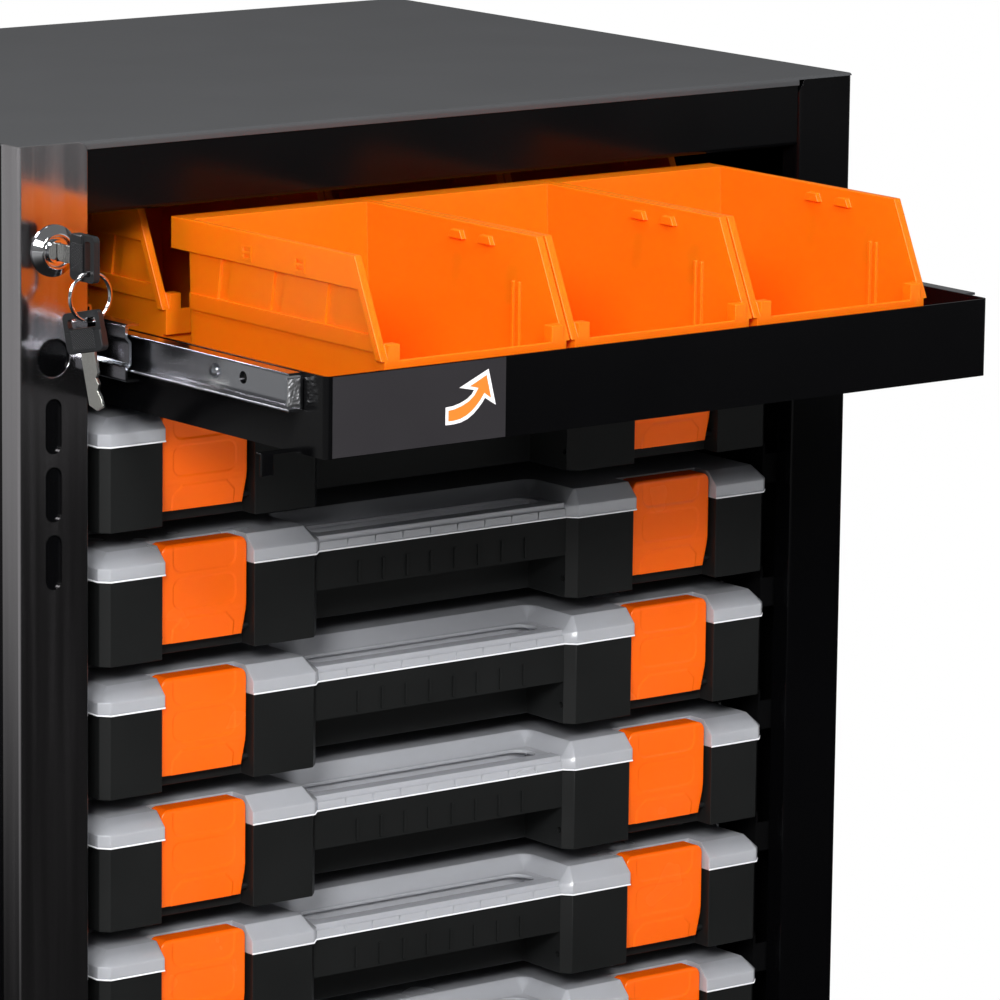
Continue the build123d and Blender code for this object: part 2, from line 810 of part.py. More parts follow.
# --- trim bar and lock ---------------------------------------------------------------------------
bar_right = -half + bar_width
with BuildPart() as lock_bar:
    with BuildSketch(Plane.XY.offset(sheet)):
        sheet_profile([
            (bar_right, front - bar_gauge / 2),
            (-half - bar_gauge / 2, front - bar_gauge / 2),
            (-half - bar_gauge / 2, front + bar_return),
        ], bar_gauge, bar_bend)
    extrude(amount=height - sheet)
    corner = edges().filter_by(Axis.Y).group_by(Axis.Z)[-1].sort_by(Axis.X)[-1]
    fillet(corner, bar_corner)
    with BuildSketch(facing(front - 2 * bar_gauge)):
        with Locations((lock_x, lock_z)):
            Circle(barrel_radius + screw_play)
        with Locations((lock_x, lock_z - round_drop)):
            Circle(round_radius)
        with Locations(*[(lock_x, lock_z - slot_drop - step * slot_pitch) for step in range(slot_count)]):
            SlotOverall(bar_slot_long, bar_slot_wide, rotation=90)
    extrude(amount=-3 * bar_gauge, mode=Mode.SUBTRACT)

bezel_back = front - bar_gauge
with BuildPart() as lock_body:
    with BuildSketch(facing(bezel_back)):
        with Locations((lock_x, lock_z)):
            Circle(bezel_radius)
    extrude(amount=bezel_height)
    chamfer(edges().group_by(Axis.Y)[0], 1.4)
    with BuildSketch(facing(bezel_back)):
        with Locations((lock_x, lock_z)):
            Circle(barrel_radius)
    extrude(amount=-(barrel_back + bar_gauge))
    with BuildSketch(facing(front - width)):
        with Locations((lock_x, lock_z)):
            Circle(plug_radius + plug_play)
    extrude(amount=-2 * width, mode=Mode.SUBTRACT)

with BuildPart() as lock_nut:
    with BuildSketch(facing(front + sheet)):
        with Locations((lock_x, lock_z)):
            RegularPolygon(nut_across / 2, 6, major_radius=False)
            Circle(barrel_radius + plug_play, mode=Mode.SUBTRACT)
    extrude(amount=-nut_height)

key_depth = 18.0  # blade inside the plug
plug_face = bezel_back - bezel_height - 0.4
plug_back = front + barrel_back + 0.5
with BuildPart() as lock_plug:
    with BuildSketch(facing(plug_face)):
        with Locations((lock_x, lock_z)):
            Circle(plug_radius)
    extrude(amount=-(plug_back - plug_face))
    with Locations((lock_x, plug_face, lock_z)):
        Box(
            blade_thick + 0.3, 2 * key_depth, blade_across + 0.3,
            align=(Align.CENTER, Align.CENTER, Align.CENTER), mode=Mode.SUBTRACT,
        )

cam_face = plug_back
with BuildPart() as lock_cam:
    with BuildSketch(facing(cam_face)):
        with Locations((lock_x, lock_z)):
            Circle(plug_radius + 1)
        with Locations((lock_x + crank / 2, lock_z)):
            Rectangle(crank, 8)
        with Locations((lock_x + crank, lock_z)):
            Circle(4)
    extrude(amount=-cam_gauge)
    with BuildSketch(facing(cam_face + cam_gauge)):
        with Locations((lock_x + crank, lock_z)):
            Circle(crank_pin)
    extrude(amount=-crank_pin_length)
    with BuildSketch(facing(cam_face + cam_gauge)):
        with Locations((lock_x, lock_z)):
            Circle(3.4)
    extrude(amount=-1.6)

rod_y = front + rod_setback
finger_top = slide_z - outer_height / 2 - finger_gap
finger_bottom = finger_top - finger_height
guide_spots = [(lock_x, lock_z - drop) for drop in guide_drops]
with BuildPart() as lock_rod:
    with BuildSketch(facing(rod_y)):
        with Locations((lock_x + crank / 10, lock_z)):
            Rectangle(rod_head_width, rod_head_height)
        with Locations((lock_x, lock_z)):
            Rectangle(rod_width, lock_z - finger_bottom, align=(Align.CENTER, Align.MAX))
        with Locations((lock_x + rod_width / 2, finger_bottom)):
            Rectangle(
                -lock_x - rod_width / 2 - (slide_back - 2 * keeper_past), finger_height,
                align=(Align.MIN, Align.MIN),
            )
        # crank slot, with room for the pin's arc below its centre
        with Locations((lock_x + crank / 2, lock_z - 1.1)):
            Rectangle(crank + 2 * crank_pin + 1, 2 * crank_pin + 2.8, mode=Mode.SUBTRACT)
        with Locations(*[(x, z + rod_travel / 2) for x, z in guide_spots]):
            Rectangle(
                2 * guide_pin + 3 * screw_play, rod_travel + 2 * guide_pin + 1, mode=Mode.SUBTRACT
            )
    extrude(amount=-rod_gauge)

bracket_y = front + bracket_setback
with BuildPart() as lock_bracket:
    bracket_top = lock_z - guide_drops[0] + rod_travel
    with BuildSketch(Plane.XY.offset(bracket_top - bracket_height)):
        sheet_profile([
            (lock_x + bracket_reach, bracket_y + skin),
            (-half + sheet + skin, bracket_y + skin),
            (-half + sheet + skin, bracket_y + bracket_flange),
        ])
    extrude(amount=bracket_height)
    with BuildSketch(facing(bracket_y + sheet)):
        with Locations(*guide_spots):
            Circle(guide_pin)
    extrude(amount=-(rod_gauge + 2 * sheet))
    with BuildSketch(facing(bracket_y + 2 * sheet + rod_gauge + 1)):
        with Locations(*guide_spots):
            Circle(guide_head)
    extrude(amount=-sheet)

# --- keys and ring -------------------------------------------------------------------------------
head_front = front - head_start - head_long  # the end nearest the user
rim_centre = head_across / 2 - slot_edge / 2  # slot edge below the lock axis
slot_y = head_front + 3.0 + slot_across / 2


def key_blade_solid(start, length, tip=3.0):
    """A flat blade on the YZ plane through the origin, running to +Y."""
    with BuildSketch(Plane.YZ.offset(-blade_thick / 2)) as blade:
        with BuildLine():
            Polyline(
                (start, -blade_across / 2),
                (start, blade_across / 2),
                (start + length - tip, blade_across / 2),
                (start + length, 0),
                (start + length - tip / 2, -blade_across / 2),
                (start + length - 6, -blade_across / 2 + 0.6),
                (start + length - 9, -blade_across / 2 + 1.8),
                (start + length - 12, -blade_across / 2 + 0.5),
                (start + length - 15, -blade_across / 2 + 1.6),
                (start + length - 17, -blade_across / 2),
                close=True,
            )
        make_face()
    extrude(blade.sketch, amount=blade_thick)


with BuildPart() as key_blade_shape:
    # in the key's own frame: blade along +Y from the head's edge, head towards -Y
    key_blade_solid(-6.0, blade_length + 6.0)

with BuildPart() as key_head_shape:
    with BuildSketch(Plane.YZ.offset(-head_thick / 2)):
        with Locations((-head_long / 2, 0)):
            RectangleRounded(head_long, head_across, 2.6)
    extrude(amount=head_thick)
    chamfer(edges().group_by(Axis.X)[0] + edges().group_by(Axis.X)[-1], 0.6)
    # thinner band round the slot on both faces
    for face in (-1, 1):
        with Locations((face * head_thick / 2, -head_long, 0)):
            Box(
                head_thick - head_thin, 2 * (slot_across + 4.6), head_across + 2,
                align=(Align.CENTER, Align.CENTER, Align.CENTER), mode=Mode.SUBTRACT,
            )
    slot_length = head_across - 2 * slot_edge
    with BuildSketch(Plane.YZ.offset(-head_thick)):
        with Locations((-head_long + 3.0 + slot_across / 2, 0)):
            RectangleRounded(slot_across, slot_length, 1.2)
    extrude(amount=2 * head_thick, mode=Mode.SUBTRACT)
    with Locations((0, 0, 0)):
        Box(
            blade_thick, 12.0, blade_across,
            align=(Align.CENTER, Align.CENTER, Align.CENTER), mode=Mode.SUBTRACT,
        )

with BuildPart() as key_ring:
    ring_x = lock_x
    ring_y = slot_y
    ring_z = lock_z - rim_centre + hang - ring_radius
    with BuildSketch(Plane.XY.offset(ring_z)):
        with Locations((ring_x + ring_radius, ring_y)):
            Circle(wire)
    revolve(axis=Axis((ring_x, ring_y, ring_z), (0, 1, 0)), revolution_arc=360)

key_at = Location((lock_x, front - head_start, lock_z))
blade_in_lock = key_blade_shape.part.moved(key_at)
head_in_lock = key_head_shape.part.moved(key_at)

# the spare hangs blade down, its slot round the lowest point of the ring
slot_centre = head_long - 3.0 - slot_across / 2
spare_at = (
    Location((ring_x, ring_y, ring_z - ring_radius + slot_lift))
    * Location((0, 0, 0), (0, 0, spare_turn))
    * Location((0, 0, 0), (-90 - spare_lean, 0, 0))
    * Location((0, slot_centre, spare_shift))
)
spare_blade = key_blade_shape.part.moved(spare_at)
spare_head = key_head_shape.part.moved(spare_at)

# --- files -----------------------------------------------------------------------------------------
save(side_left.part, "side_panel_left")
save(side_right.part, "side_panel_right")
save(top_panel.part, "top_panel")
save(top_rail.part, "top_rail")
save(bottom_panel.part, "bottom_panel")
save(back_panel.part, "back_panel")
save(runner_uprights.part, "runner_uprights")
save(case_runners.part, "case_runners")
save(frame_screws.part, "frame_screws")
for member, kind in (
    (slide_outer_right, "slide_outer"),
    (slide_middle_right, "slide_middle"),
    (slide_inner_right, "slide_inner"),
):
    save(member.part.mirror(Plane.YZ), f"{kind}_left")
    save(member.part, f"{kind}_right")
save(drawer_tray.part, "drawer_tray")
save(drawer_label.part, "drawer_label")
save(tray_screws.part, "tray_screws")
for row in range(bin_rows):
    for column in range(bin_columns):
        place = Location((column * bin_pitch, row * bin_row_pitch, 0))
        save(bin_mould.part.moved(place), f"bin_{'fr'[row]}{column + 1}")
for number, floor in enumerate(case_floors, 1):
    down = Location((0, 0, floor - hold))
    save(case_base.part.moved(down), f"case_{number}_base")
    save(case_lid.part.moved(down), f"case_{number}_lid")
    save(latch_mould.part.moved(down), f"case_{number}_latch_left")
    save(latch_mould.part.moved(down).moved(Location((2 * notch_centre, 0, 0))), f"case_{number}_latch_right")
save(lock_bar.part, "lock_bar")
save(lock_body.part, "lock_body")
save(lock_nut.part, "lock_nut")
save(lock_plug.part, "lock_plug")
save(lock_cam.part, "lock_cam")
save(lock_rod.part, "lock_rod")
save(lock_bracket.part, "lock_bracket")
save(blade_in_lock, "key_blade")
save(head_in_lock, "key_head")
save(key_ring.part, "key_ring")
save(spare_blade, "spare_key_blade")
save(spare_head, "spare_key_head")
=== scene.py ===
"""Looks of the parts bin cabinet: a Blender add-on layout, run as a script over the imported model."""
import math

import bmesh
import bpy
from mathutils import Matrix, Vector, noise


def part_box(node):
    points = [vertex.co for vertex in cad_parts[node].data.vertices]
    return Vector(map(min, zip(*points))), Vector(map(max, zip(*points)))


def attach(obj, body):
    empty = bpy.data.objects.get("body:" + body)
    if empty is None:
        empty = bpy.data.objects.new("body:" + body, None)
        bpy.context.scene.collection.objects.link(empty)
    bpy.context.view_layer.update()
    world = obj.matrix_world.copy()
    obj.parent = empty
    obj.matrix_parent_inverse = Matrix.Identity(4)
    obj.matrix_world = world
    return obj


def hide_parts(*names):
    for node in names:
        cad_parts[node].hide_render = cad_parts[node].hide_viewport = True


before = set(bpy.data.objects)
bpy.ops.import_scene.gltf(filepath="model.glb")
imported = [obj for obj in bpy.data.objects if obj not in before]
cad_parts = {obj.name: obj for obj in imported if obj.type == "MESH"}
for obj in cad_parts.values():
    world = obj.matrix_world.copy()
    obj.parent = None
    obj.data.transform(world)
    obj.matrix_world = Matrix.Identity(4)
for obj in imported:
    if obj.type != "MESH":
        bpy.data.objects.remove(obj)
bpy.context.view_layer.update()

bl_info = {
    "name": "Parts bin cabinet",
    "version": (1, 0, 0),
    "blender": (4, 5, 0),
    "location": "View3D > Sidebar > Cabinet",
    "description": "Dresses a steel parts cabinet with bins, organiser cases, slides and a key lock",
    "category": "Object",
}

MM, METRE = 0.001, 1000.0  # a millimetre in metres, a metre in millimetres

# Sizes are in mm unless a comment says otherwise, with the cabinet's origin under its middle.
FRONT = -192.5  # stile face
TRAY_FRONT = FRONT - 165.0  # the drawer stands open
SLIDE_LEVEL = 443.5  # middle of the drawer slides

CASE_COUNT = 6
CASE_PITCH = 64.0
LOWEST_CASE = 34.0  # underside of the lowest case
TOP_CASE = LOWEST_CASE + (CASE_COUNT - 1) * CASE_PITCH
CASE_FRONT = FRONT + 1.6
LID_HALF, LID_CUT, LID_RETURN = 203.0, 4.5, 14.0  # half width, cut corner, how far a rim goes back
GRIP_OUTER, GRIP_INNER, GRIP_DEPTH = 80.0, 75.4, 4.5  # recess of the case handle
RIM_LEVEL, RIM_RADIUS, RIM_SIDES = 40.95, 0.42, 10

# A latch is measured from its own middle, its case's underside and its foremost plane.
LATCH_X = 142.0
LATCH_NOTCH = 25.6  # half the gap in the lid that it sits in
LATCH_FACE = FRONT + 6.1
LATCH_HALF, LATCH_LOW, LATCH_HIGH = 24.6, 5.8, 53.6
LATCH_CORNER = 4.5
LATCH_BEND, LATCH_TAPER, LATCH_SLANT = 18.0, 1.3, 1.7  # below the bend it narrows and leans back
LATCH_WALL, LATCH_LAP = 2.8, 0.1  # the pin's boss is let into the wall by the lap
LATCH_TOP_ROUND, LATCH_FOOT_ROUND = 2.0, 0.4
LATCH_HOOK, LATCH_REACH = 51.4, 10.9
LATCH_PIVOT = 9.4
LATCH_FINE, LATCH_GRID = 0.8, 0.5  # spacing of its mesh, closer within 0.8 of the edges
LATCH_DISHES = (  # level, half width, half height, corner, depth, softness of the edge
    (55.0, 18.0, 15.0, 5.0, 0.42, 1.0),
    (29.6, 18.0, 7.3, 4.6, 0.3, 0.9),
)
PAD_HALF, PAD_TOP, PAD_CORNER, PAD_DEPTH = 17.4, 17.4, 30.0, 0.38  # raised pad, upper corners cut
PAD_END, PAD_FADE, PAD_SOFT = 18.2, 3.2, 0.6  # the face is level with it again above the fade
BOSS_HALF, BOSS_RADIUS = 23.2, 2.8
PIN_X, PIN_LENGTH, PIN_RADIUS = 25.9, 5.2, 1.5

BIN_PITCH = (108.5, 171.5)
FILM_SUNK = 0.01  # how far the arrow's films reach into the label

SCREW_RADIUS, SCREW_SHANK = 3.5, 6.0
RUNNER_SCREW_X, SLIDE_SCREW_X, TRAY_SCREW_X = 207.7, 208.0, 197.7
RUNNER_SCREW_DROP = 14.5  # below its case
FRAME_SCREW_Y, TRAY_SCREW_Y = (46.0, 284.0), (84.0, 265.0)  # behind the stile and the tray's front

BALL_COUNT, BALL_X, BALL_LEVEL = 12, 202.3, 10.55
FIRST_BALL = FRONT - 16.0

TAB_HALF, TAB_NEAR, TAB_FAR = 6.2, 0.3, 1.3  # hammered face: half height, margins at its two sides
TAB_FACETS = (7, 13)
TAB_EDGE, TAB_LIFT, TAB_ROUGH, TAB_BACK = 0.02, 0.22, 0.36, 0.3

LOCK_X, LOCK_Z = -232.5, 491.0
BEZEL_SEAT = FRONT - 1.5
KEY_SHOULDER = FRONT - 18.0
HEAD_LENGTH, HEAD_HEIGHT, HEAD_HALF = 19.0, 21.5, 2.5  # half is half the thickness
SLOT_INSET, SLOT_HALF, SLOT_SIDE, SLOT_PLAY = 3.0, 2.3, 1.3, 3.1  # where the ring goes through the head
RING_RADIUS, RING_WIRE, RING_SIDES, RING_STEPS = 11.0, (0.85, 0.46), 12, 160
RING_GAP, RING_CROSSING = 0.48, (0.94, 0.12)  # half the turns' distance, where one steps over the other
RING_START, RING_TURNS, RING_ANGLE = 0.03, 1.94, 2.3
SPARE_DROP, SPARE_SLOT = 11.5, (0, 13.7, 4.0)  # below the ring's centre; slot to the key's origin
SPARE_TURN, SPARE_TILT = math.radians(18), math.radians(-102)
GRIP_LOW, GRIP_HIGH = (-11.0, -6.6), (-1.7, 6.6)  # knurled square on a key's head
GRIP_STEPS = ((0.0, -0.1), (0.0, 0.12), (0.25, 0.22))  # inset and height of its edges

# Copies of CAD solids: corners nearer than this are one, flatter joints vanish, sharper ones are rounded
MERGE = 2e-6  # metres
FLAT_JOINT, SHARP_EDGE = math.radians(0.7), math.radians(28)
EDGE_ROOM = 2.3  # an edge this many radii long takes the rounding of its ends
SLIDE_EDGE, BLADE_EDGE, HEAD_EDGE = 0.4, 0.2, 0.45  # roundings in mm of slides, key blades and heads

# The studio is in metres.
CAMERA_PLACE = (-1.8411, -2.6075, 0.9425)
CAMERA_YAW, CAMERA_PITCH, CAMERA_ROLL = 0.659, 0.193, 0.012  # radians
CAMERA_SENSOR, CAMERA_REACH, CAMERA_END = 36, 6.3831, 30  # mm, focal length in sensor widths, metres
LAMPS = (  # place, what it looks at, size, watts
    ("key_light", (-2.4, -2.4, 1.8), (0, -0.1, 0.3), 0.9, 92),
    ("front_light", (-0.8, -2.8, 2.15), (0, -0.1, 0.3), 0.7, 50),
    ("fill_light", (2.6, -2.4, 1.3), (0, -0.1, 0.3), 1.6, 3),
    ("top_light", (-0.3, 0.1, 3.0), (0, 0, 0.5), 1.6, 38),
)
SURROUNDINGS = 0.17
FLOOR_HALF, FLOOR_LEVEL = 6.0, -0.0005
FOOT_HALF = (0.25, 0.1925, 1.0)
SHADOW_NEAR, SHADOW_FAR = 0.01, 0.14
CARD_HALF, CARD_LEVEL = 4.6, -0.0003
CARD_BLACK = 0.015
CARD_LEFT, CARD_FAR = (0.45, 1.7, 0.34), (1.7, 4.0, 0.14)  # where it starts to pale, ends, and how pale


def linear(code):
    """An sRGB hex colour as linear red, green and blue."""
    parts = [int(code[i:i + 2], 16) / 255 for i in (1, 3, 5)]
    return tuple(c / 12.92 if c <= 0.04045 else ((c + 0.055) / 1.055) ** 2.4 for c in parts)


def colour_property(name, description, code):
    return bpy.props.FloatVectorProperty(
        name=name, description=description, subtype="COLOR", size=3, min=0, max=1, default=linear(code)
    )


def length_property(name, description, millimetres):
    return bpy.props.FloatProperty(
        name=name, description=description, default=millimetres * MM, min=0, unit="LENGTH", precision=4
    )


class CabinetColours(bpy.types.PropertyGroup):
    """Colours of the cabinet's finishes."""

    top: colour_property("Top", "Matte powder coat of the top panel", "#454648")
    enamel: colour_property("Enamel", "Gloss black of the shell and tray", "#050506")
    runner: colour_property("Runners", "Satin black of runners and uprights", "#0a0a0b")
    zinc: colour_property("Zinc", "Bright zinc plating of slides and screws", "#b2b4b9")
    stainless: colour_property("Stainless", "Polished stainless of the trim bar", "#c4c1c4")
    bin: colour_property("Bins", "Orange polypropylene of the bins", "#ff760b")
    latch: colour_property("Latches", "Orange polypropylene of the latches", "#ff6507")
    lid: colour_property("Lids", "Clear grey of the case lids", "#e0e2e8")
    base: colour_property("Case bases", "Black polypropylene of the case bases", "#171818")
    label: colour_property("Label", "Printed dark ground of the label", "#2a282b")
    arrow: colour_property("Arrow", "Printed orange of the label's arrow", "#f98029")


class CabinetSizes(bpy.types.PropertyGroup):
    """Edge radii and small sizes that the CAD solids leave out."""

    sheet_edge: length_property("Sheet edge", "Edge rounding of cut sheet metal", 0.3)
    bin_edge: length_property("Bin edge", "Edge rounding of the moulded bins", 0.45)
    case_edge: length_property("Case edge", "Edge rounding of the case bases", 0.45)
    lid_edge: length_property("Lid edge", "Edge rounding of the case lids", 0.4)
    latch_edge: length_property("Latch edge", "Edge rounding of the latches", 0.8)
    screw_radius: length_property("Screw head", "Radius of the pan heads", SCREW_RADIUS)
    ball_radius: length_property("Ball", "Radius of the slide balls", 1.55)
    ball_spacing: length_property("Ball spacing", "Distance between slide balls", 7.5)


class CabinetSettings(bpy.types.PropertyGroup):
    """Everything a user may change on the cabinet."""

    colours: bpy.props.PointerProperty(type=CabinetColours, name="Colours", description="Finishes")
    sizes: bpy.props.PointerProperty(type=CabinetSizes, name="Sizes", description="Small sizes")


# --- materials -----------------------------------------------------------------------------


def add(tree, kind, inputs=None, **settings):
    """Adds a node with its settings; inputs takes values or other nodes' outputs."""
    made = tree.nodes.new(kind)
    for name, value in settings.items():
        setattr(made, name, value)
    for socket, value in (inputs or {}).items():
        if isinstance(value, bpy.types.NodeSocket):
            tree.links.new(value, made.inputs[socket])
        else:
            made.inputs[socket].default_value = value
    return made


def surface(
    name, colour, roughness, grain, relief, patch, mottle=0.05, stretch=(1, 1, 1), uneven=0.04,
    sockets=None,
):
    """A finish with its grain and relief in mm, slight patches of tone and uneven gloss."""
    made = bpy.data.materials.new(name)
    made.use_nodes = True
    tree = made.node_tree
    shader = tree.nodes["Principled BSDF"]
    for socket, value in (sockets or {}).items():
        shader.inputs[socket].default_value = value
    place = add(tree, "ShaderNodeTexCoord").outputs["Object"]
    along = add(tree, "ShaderNodeMapping", {"Vector": place, "Scale": stretch}).outputs["Vector"]
    fine = add(tree, "ShaderNodeTexNoise", {
        "Vector": along, "Scale": METRE / grain, "Detail": 3.0, "Roughness": 0.6,
    })
    patches = add(tree, "ShaderNodeTexNoise", {"Vector": along, "Scale": METRE / patch, "Detail": 2.0})
    tones = [tuple(min(1, c * (1 + side * mottle)) for c in colour) + (1,) for side in (-1, 1)]
    # colours go into a Mix node's sockets 6 and 7 and come out of its socket 2
    tone = add(tree, "ShaderNodeMix", data_type="RGBA")
    tree.links.new(patches.outputs["Fac"], tone.inputs["Factor"])
    tone.inputs[6].default_value, tone.inputs[7].default_value = tones
    tree.links.new(tone.outputs[2], shader.inputs["Base Color"])
    gloss = add(tree, "ShaderNodeMapRange", {
        "Value": patches.outputs["Fac"], "From Min": 0.3, "From Max": 0.7,
        "To Min": max(0, roughness - uneven), "To Max": roughness + uneven,
    })
    tree.links.new(gloss.outputs["Result"], shader.inputs["Roughness"])
    bump = add(tree, "ShaderNodeBump", {
        "Height": fine.outputs["Fac"], "Distance": relief * MM, "Strength": 1.0,
    })
    tree.links.new(bump.outputs["Normal"], shader.inputs["Normal"])
    return made


METAL = {"Metallic": 1.0}
# Each finish is named for what the real one is, but for the lid rim's painted highlight; a colour is a user's
# setting or an sRGB code.
FINISHES = {
    # epoxy powder with a fine sand texture: a broad sheen and no clear reflection
    "powder_coat_matte_grey": dict(
        colour="top", roughness=0.62, grain=0.9, relief=0.035, patch=55,
        sockets={"Specular IOR Level": 0.35},
    ),
    # baked enamel on sheet steel: sharp but wavy reflections from orange peel
    "gloss_enamel_black": dict(
        colour="enamel", roughness=0.15, grain=3.2, relief=0.01, mottle=0.1, patch=70,
        sockets={"Specular IOR Level": 0.2},
    ),
    # satin enamel on folded steel: dull, deep black inside the cabinet
    "satin_enamel_black": dict(
        colour="runner", roughness=0.45, grain=1.6, relief=0.02, mottle=0.1, patch=40,
        sockets={"Specular IOR Level": 0.12},
    ),
    # rolled strip, plated: cold bluish metal with faint rolling lines along its length
    "bright_zinc_plate": dict(
        colour="zinc", roughness=0.17, grain=0.9, relief=0.004, mottle=0.12, patch=9,
        stretch=(1, 0.06, 1), uneven=0.06, sockets=METAL,
    ),
    # end of the strip, hammered over in the press: bright facets that catch every lamp
    "hammered_zinc": dict(
        colour="#e6e7ea", roughness=0.42, grain=0.6, relief=0.01, mottle=0.1, patch=3,
        sockets=METAL,
    ),
    # cold-rolled stainless, buffed up and down: long vertical streaks in the reflection
    "polished_stainless": dict(
        colour="stainless", roughness=0.13, grain=1.1, relief=0.003, mottle=0.16, patch=6,
        stretch=(1, 1, 0.03), uneven=0.05, sockets=METAL,
    ),
    # die-cast zinc under bright chrome: nearly a mirror
    "chromed_zinc": dict(
        colour="#dcdde0", roughness=0.07, grain=2.5, relief=0.002, mottle=0.04, patch=12, uneven=0.02,
        sockets=METAL,
    ),
    # stamped key blank: warm grey, softly brushed along the blade
    "nickel_silver": dict(
        colour="#c6c5c0", roughness=0.24, grain=0.6, relief=0.004, mottle=0.08, patch=4,
        stretch=(1, 1, 0.2), uneven=0.06, sockets=METAL,
    ),
    # satin moulding, light bleeds through the thin walls and deepens the colour in shade
    "moulded_polypropylene_orange": dict(
        colour="bin", roughness=0.36, grain=1.1, relief=0.012, mottle=0.03, patch=35,
        sockets={
            "Subsurface Weight": 0.45, "Subsurface Radius": (1.0, 0.17, 0.01), "Subsurface Scale": 0.012,
            "Specular IOR Level": 0.3,
        },
    ),
    # satin moulding like the bins, its walls too thick to glow
    "latch_polypropylene_orange": dict(
        colour="latch", roughness=0.24, grain=1.3, relief=0.006, mottle=0.03, patch=30,
        sockets={
            "Subsurface Weight": 0.2, "Subsurface Radius": (1.0, 0.2, 0.02), "Subsurface Scale": 0.004,
            "Specular IOR Level": 0.4,
        },
    ),
    # milky natural polypropylene: half lets light through, half scatters it
    "clear_polypropylene_lid": dict(
        colour="lid", roughness=0.24, grain=2.2, relief=0.01, mottle=0.04, patch=60,
        sockets={
            "Transmission Weight": 0.55, "IOR": 1.49,
            "Subsurface Weight": 0.3, "Subsurface Radius": (1.0, 1.0, 1.0), "Subsurface Scale": 0.003,
        },
    ),
    # painted highlight: the lid's clear edge bead in opaque near-white, standing in for the bright line of
    # light along its lower edge
    "moulded_lid_rim": dict(
        colour="#f4f5f9", roughness=0.2, grain=2.2, relief=0.004, mottle=0.02, patch=60,
        sockets={"Specular IOR Level": 0.6},
    ),
    # spark-eroded mould texture: dull black with a soft sheen
    "moulded_polypropylene_black": dict(
        colour="base", roughness=0.44, grain=0.8, relief=0.02, mottle=0.12, patch=40,
        sockets={"Specular IOR Level": 0.26},
    ),
    # moulded ABS with a fine spark texture: black with a soft gleam
    "abs_black_key_head": dict(
        colour="#1d1e20", roughness=0.42, grain=0.7, relief=0.02, mottle=0.1, patch=6,
        sockets={"Specular IOR Level": 0.45},
    ),
    # the same ABS with criss-cross lines that knurl() adds
    "knurled_abs": dict(colour="#232426", roughness=0.45, grain=0.7, relief=0.01, mottle=0.1, patch=6),
    # screen-printed vinyl film: smooth, even and a little shiny, as are its two inks
    "printed_vinyl_dark": dict(
        colour="label", roughness=0.34, grain=1.5, relief=0.004, mottle=0.06, patch=30,
    ),
    "printed_ink_orange": dict(
        colour="arrow", roughness=0.34, grain=1.5, relief=0.003, mottle=0.02, patch=20,
    ),
    "printed_ink_white": dict(
        colour="#fbf8fa", roughness=0.34, grain=1.5, relief=0.003, mottle=0.01, patch=20,
    ),
}


def finish(kind):
    """The finish by its workshop name, made once."""
    made = bpy.data.materials.get(kind)
    if made:
        return made
    given = dict(FINISHES[kind])
    colour = given.pop("colour")
    if colour.startswith("#"):
        tone = linear(colour)
    else:
        tone = getattr(bpy.context.scene.cabinet.colours, colour)
    made = surface(kind, tone, **given)
    if kind == "knurled_abs":
        knurl(made)
    return made


def knurl(made):
    """Moulded criss-cross of the key grips; its pitch of 0.9 mm is drawn coarser than the real 0.5."""
    tree = made.node_tree
    shader = tree.nodes["Principled BSDF"]
    uv = add(tree, "ShaderNodeUVMap", uv_map="grip").outputs["UV"]
    waves = []
    for turn in (45, -45):
        turned_uv = add(tree, "ShaderNodeMapping", {"Vector": uv, "Rotation": (0, 0, math.radians(turn))})
        wave = add(tree, "ShaderNodeTexWave", {
            "Vector": turned_uv.outputs["Vector"], "Scale": 0.35,
        }, wave_type="BANDS")
        waves.append(wave.outputs["Fac"])
    both = add(tree, "ShaderNodeMath", {0: waves[0], 1: waves[1]}, operation="MULTIPLY")
    bump = add(tree, "ShaderNodeBump", {
        "Height": both.outputs["Value"], "Distance": 0.35 * MM, "Strength": 1.0,
    })
    tree.links.new(bump.outputs["Normal"], shader.inputs["Normal"])


# --- mesh helpers ----------------------------------------------------------------------------


def standing(name, mesh):
    """An object for a mesh, linked to the scene."""
    piece = bpy.data.objects.new(name, mesh)
    bpy.context.scene.collection.objects.link(piece)
    return piece


def new_piece(name, work, paint):
    """A piece from a bmesh in metres; paint is the name of its finish."""
    mesh = bpy.data.meshes.new(name)
    work.to_mesh(mesh)
    work.free()
    mesh.materials.append(finish(paint))
    return standing(name, mesh)


def closed_piece(name, work, paint, angle=None):
    """A piece whose faces point outwards, smooth across small angles where one is given."""
    bmesh.ops.recalc_face_normals(work, faces=work.faces)
    piece = new_piece(name, work, paint)
    return smooth_shaded(piece, angle) if angle else piece


def joined(work, rings):
    """Faces from each ring of vertices to the next, all the way round."""
    for a, b in zip(rings, rings[1:]):
        for k in range(len(a)):
            n = (k + 1) % len(a)
            work.faces.new((a[k], a[n], b[n], b[k]))


def put(piece, body, slot, *nodes):
    """Rides on a body and stands for CAD nodes; the slot is not used."""
    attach(piece, body)
    if nodes:
        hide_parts(*nodes)
    return piece


def baked(piece):
    """The piece with its modifiers turned into plain mesh."""
    bpy.context.view_layer.update()
    graph = bpy.context.evaluated_depsgraph_get()
    mesh = bpy.data.meshes.new_from_object(
        piece.evaluated_get(graph), preserve_all_data_layers=True, depsgraph=graph
    )
    old = piece.data
    piece.modifiers.clear()
    piece.data = mesh
    mesh.name = piece.name
    if old.users == 0:
        bpy.data.meshes.remove(old)
    return piece


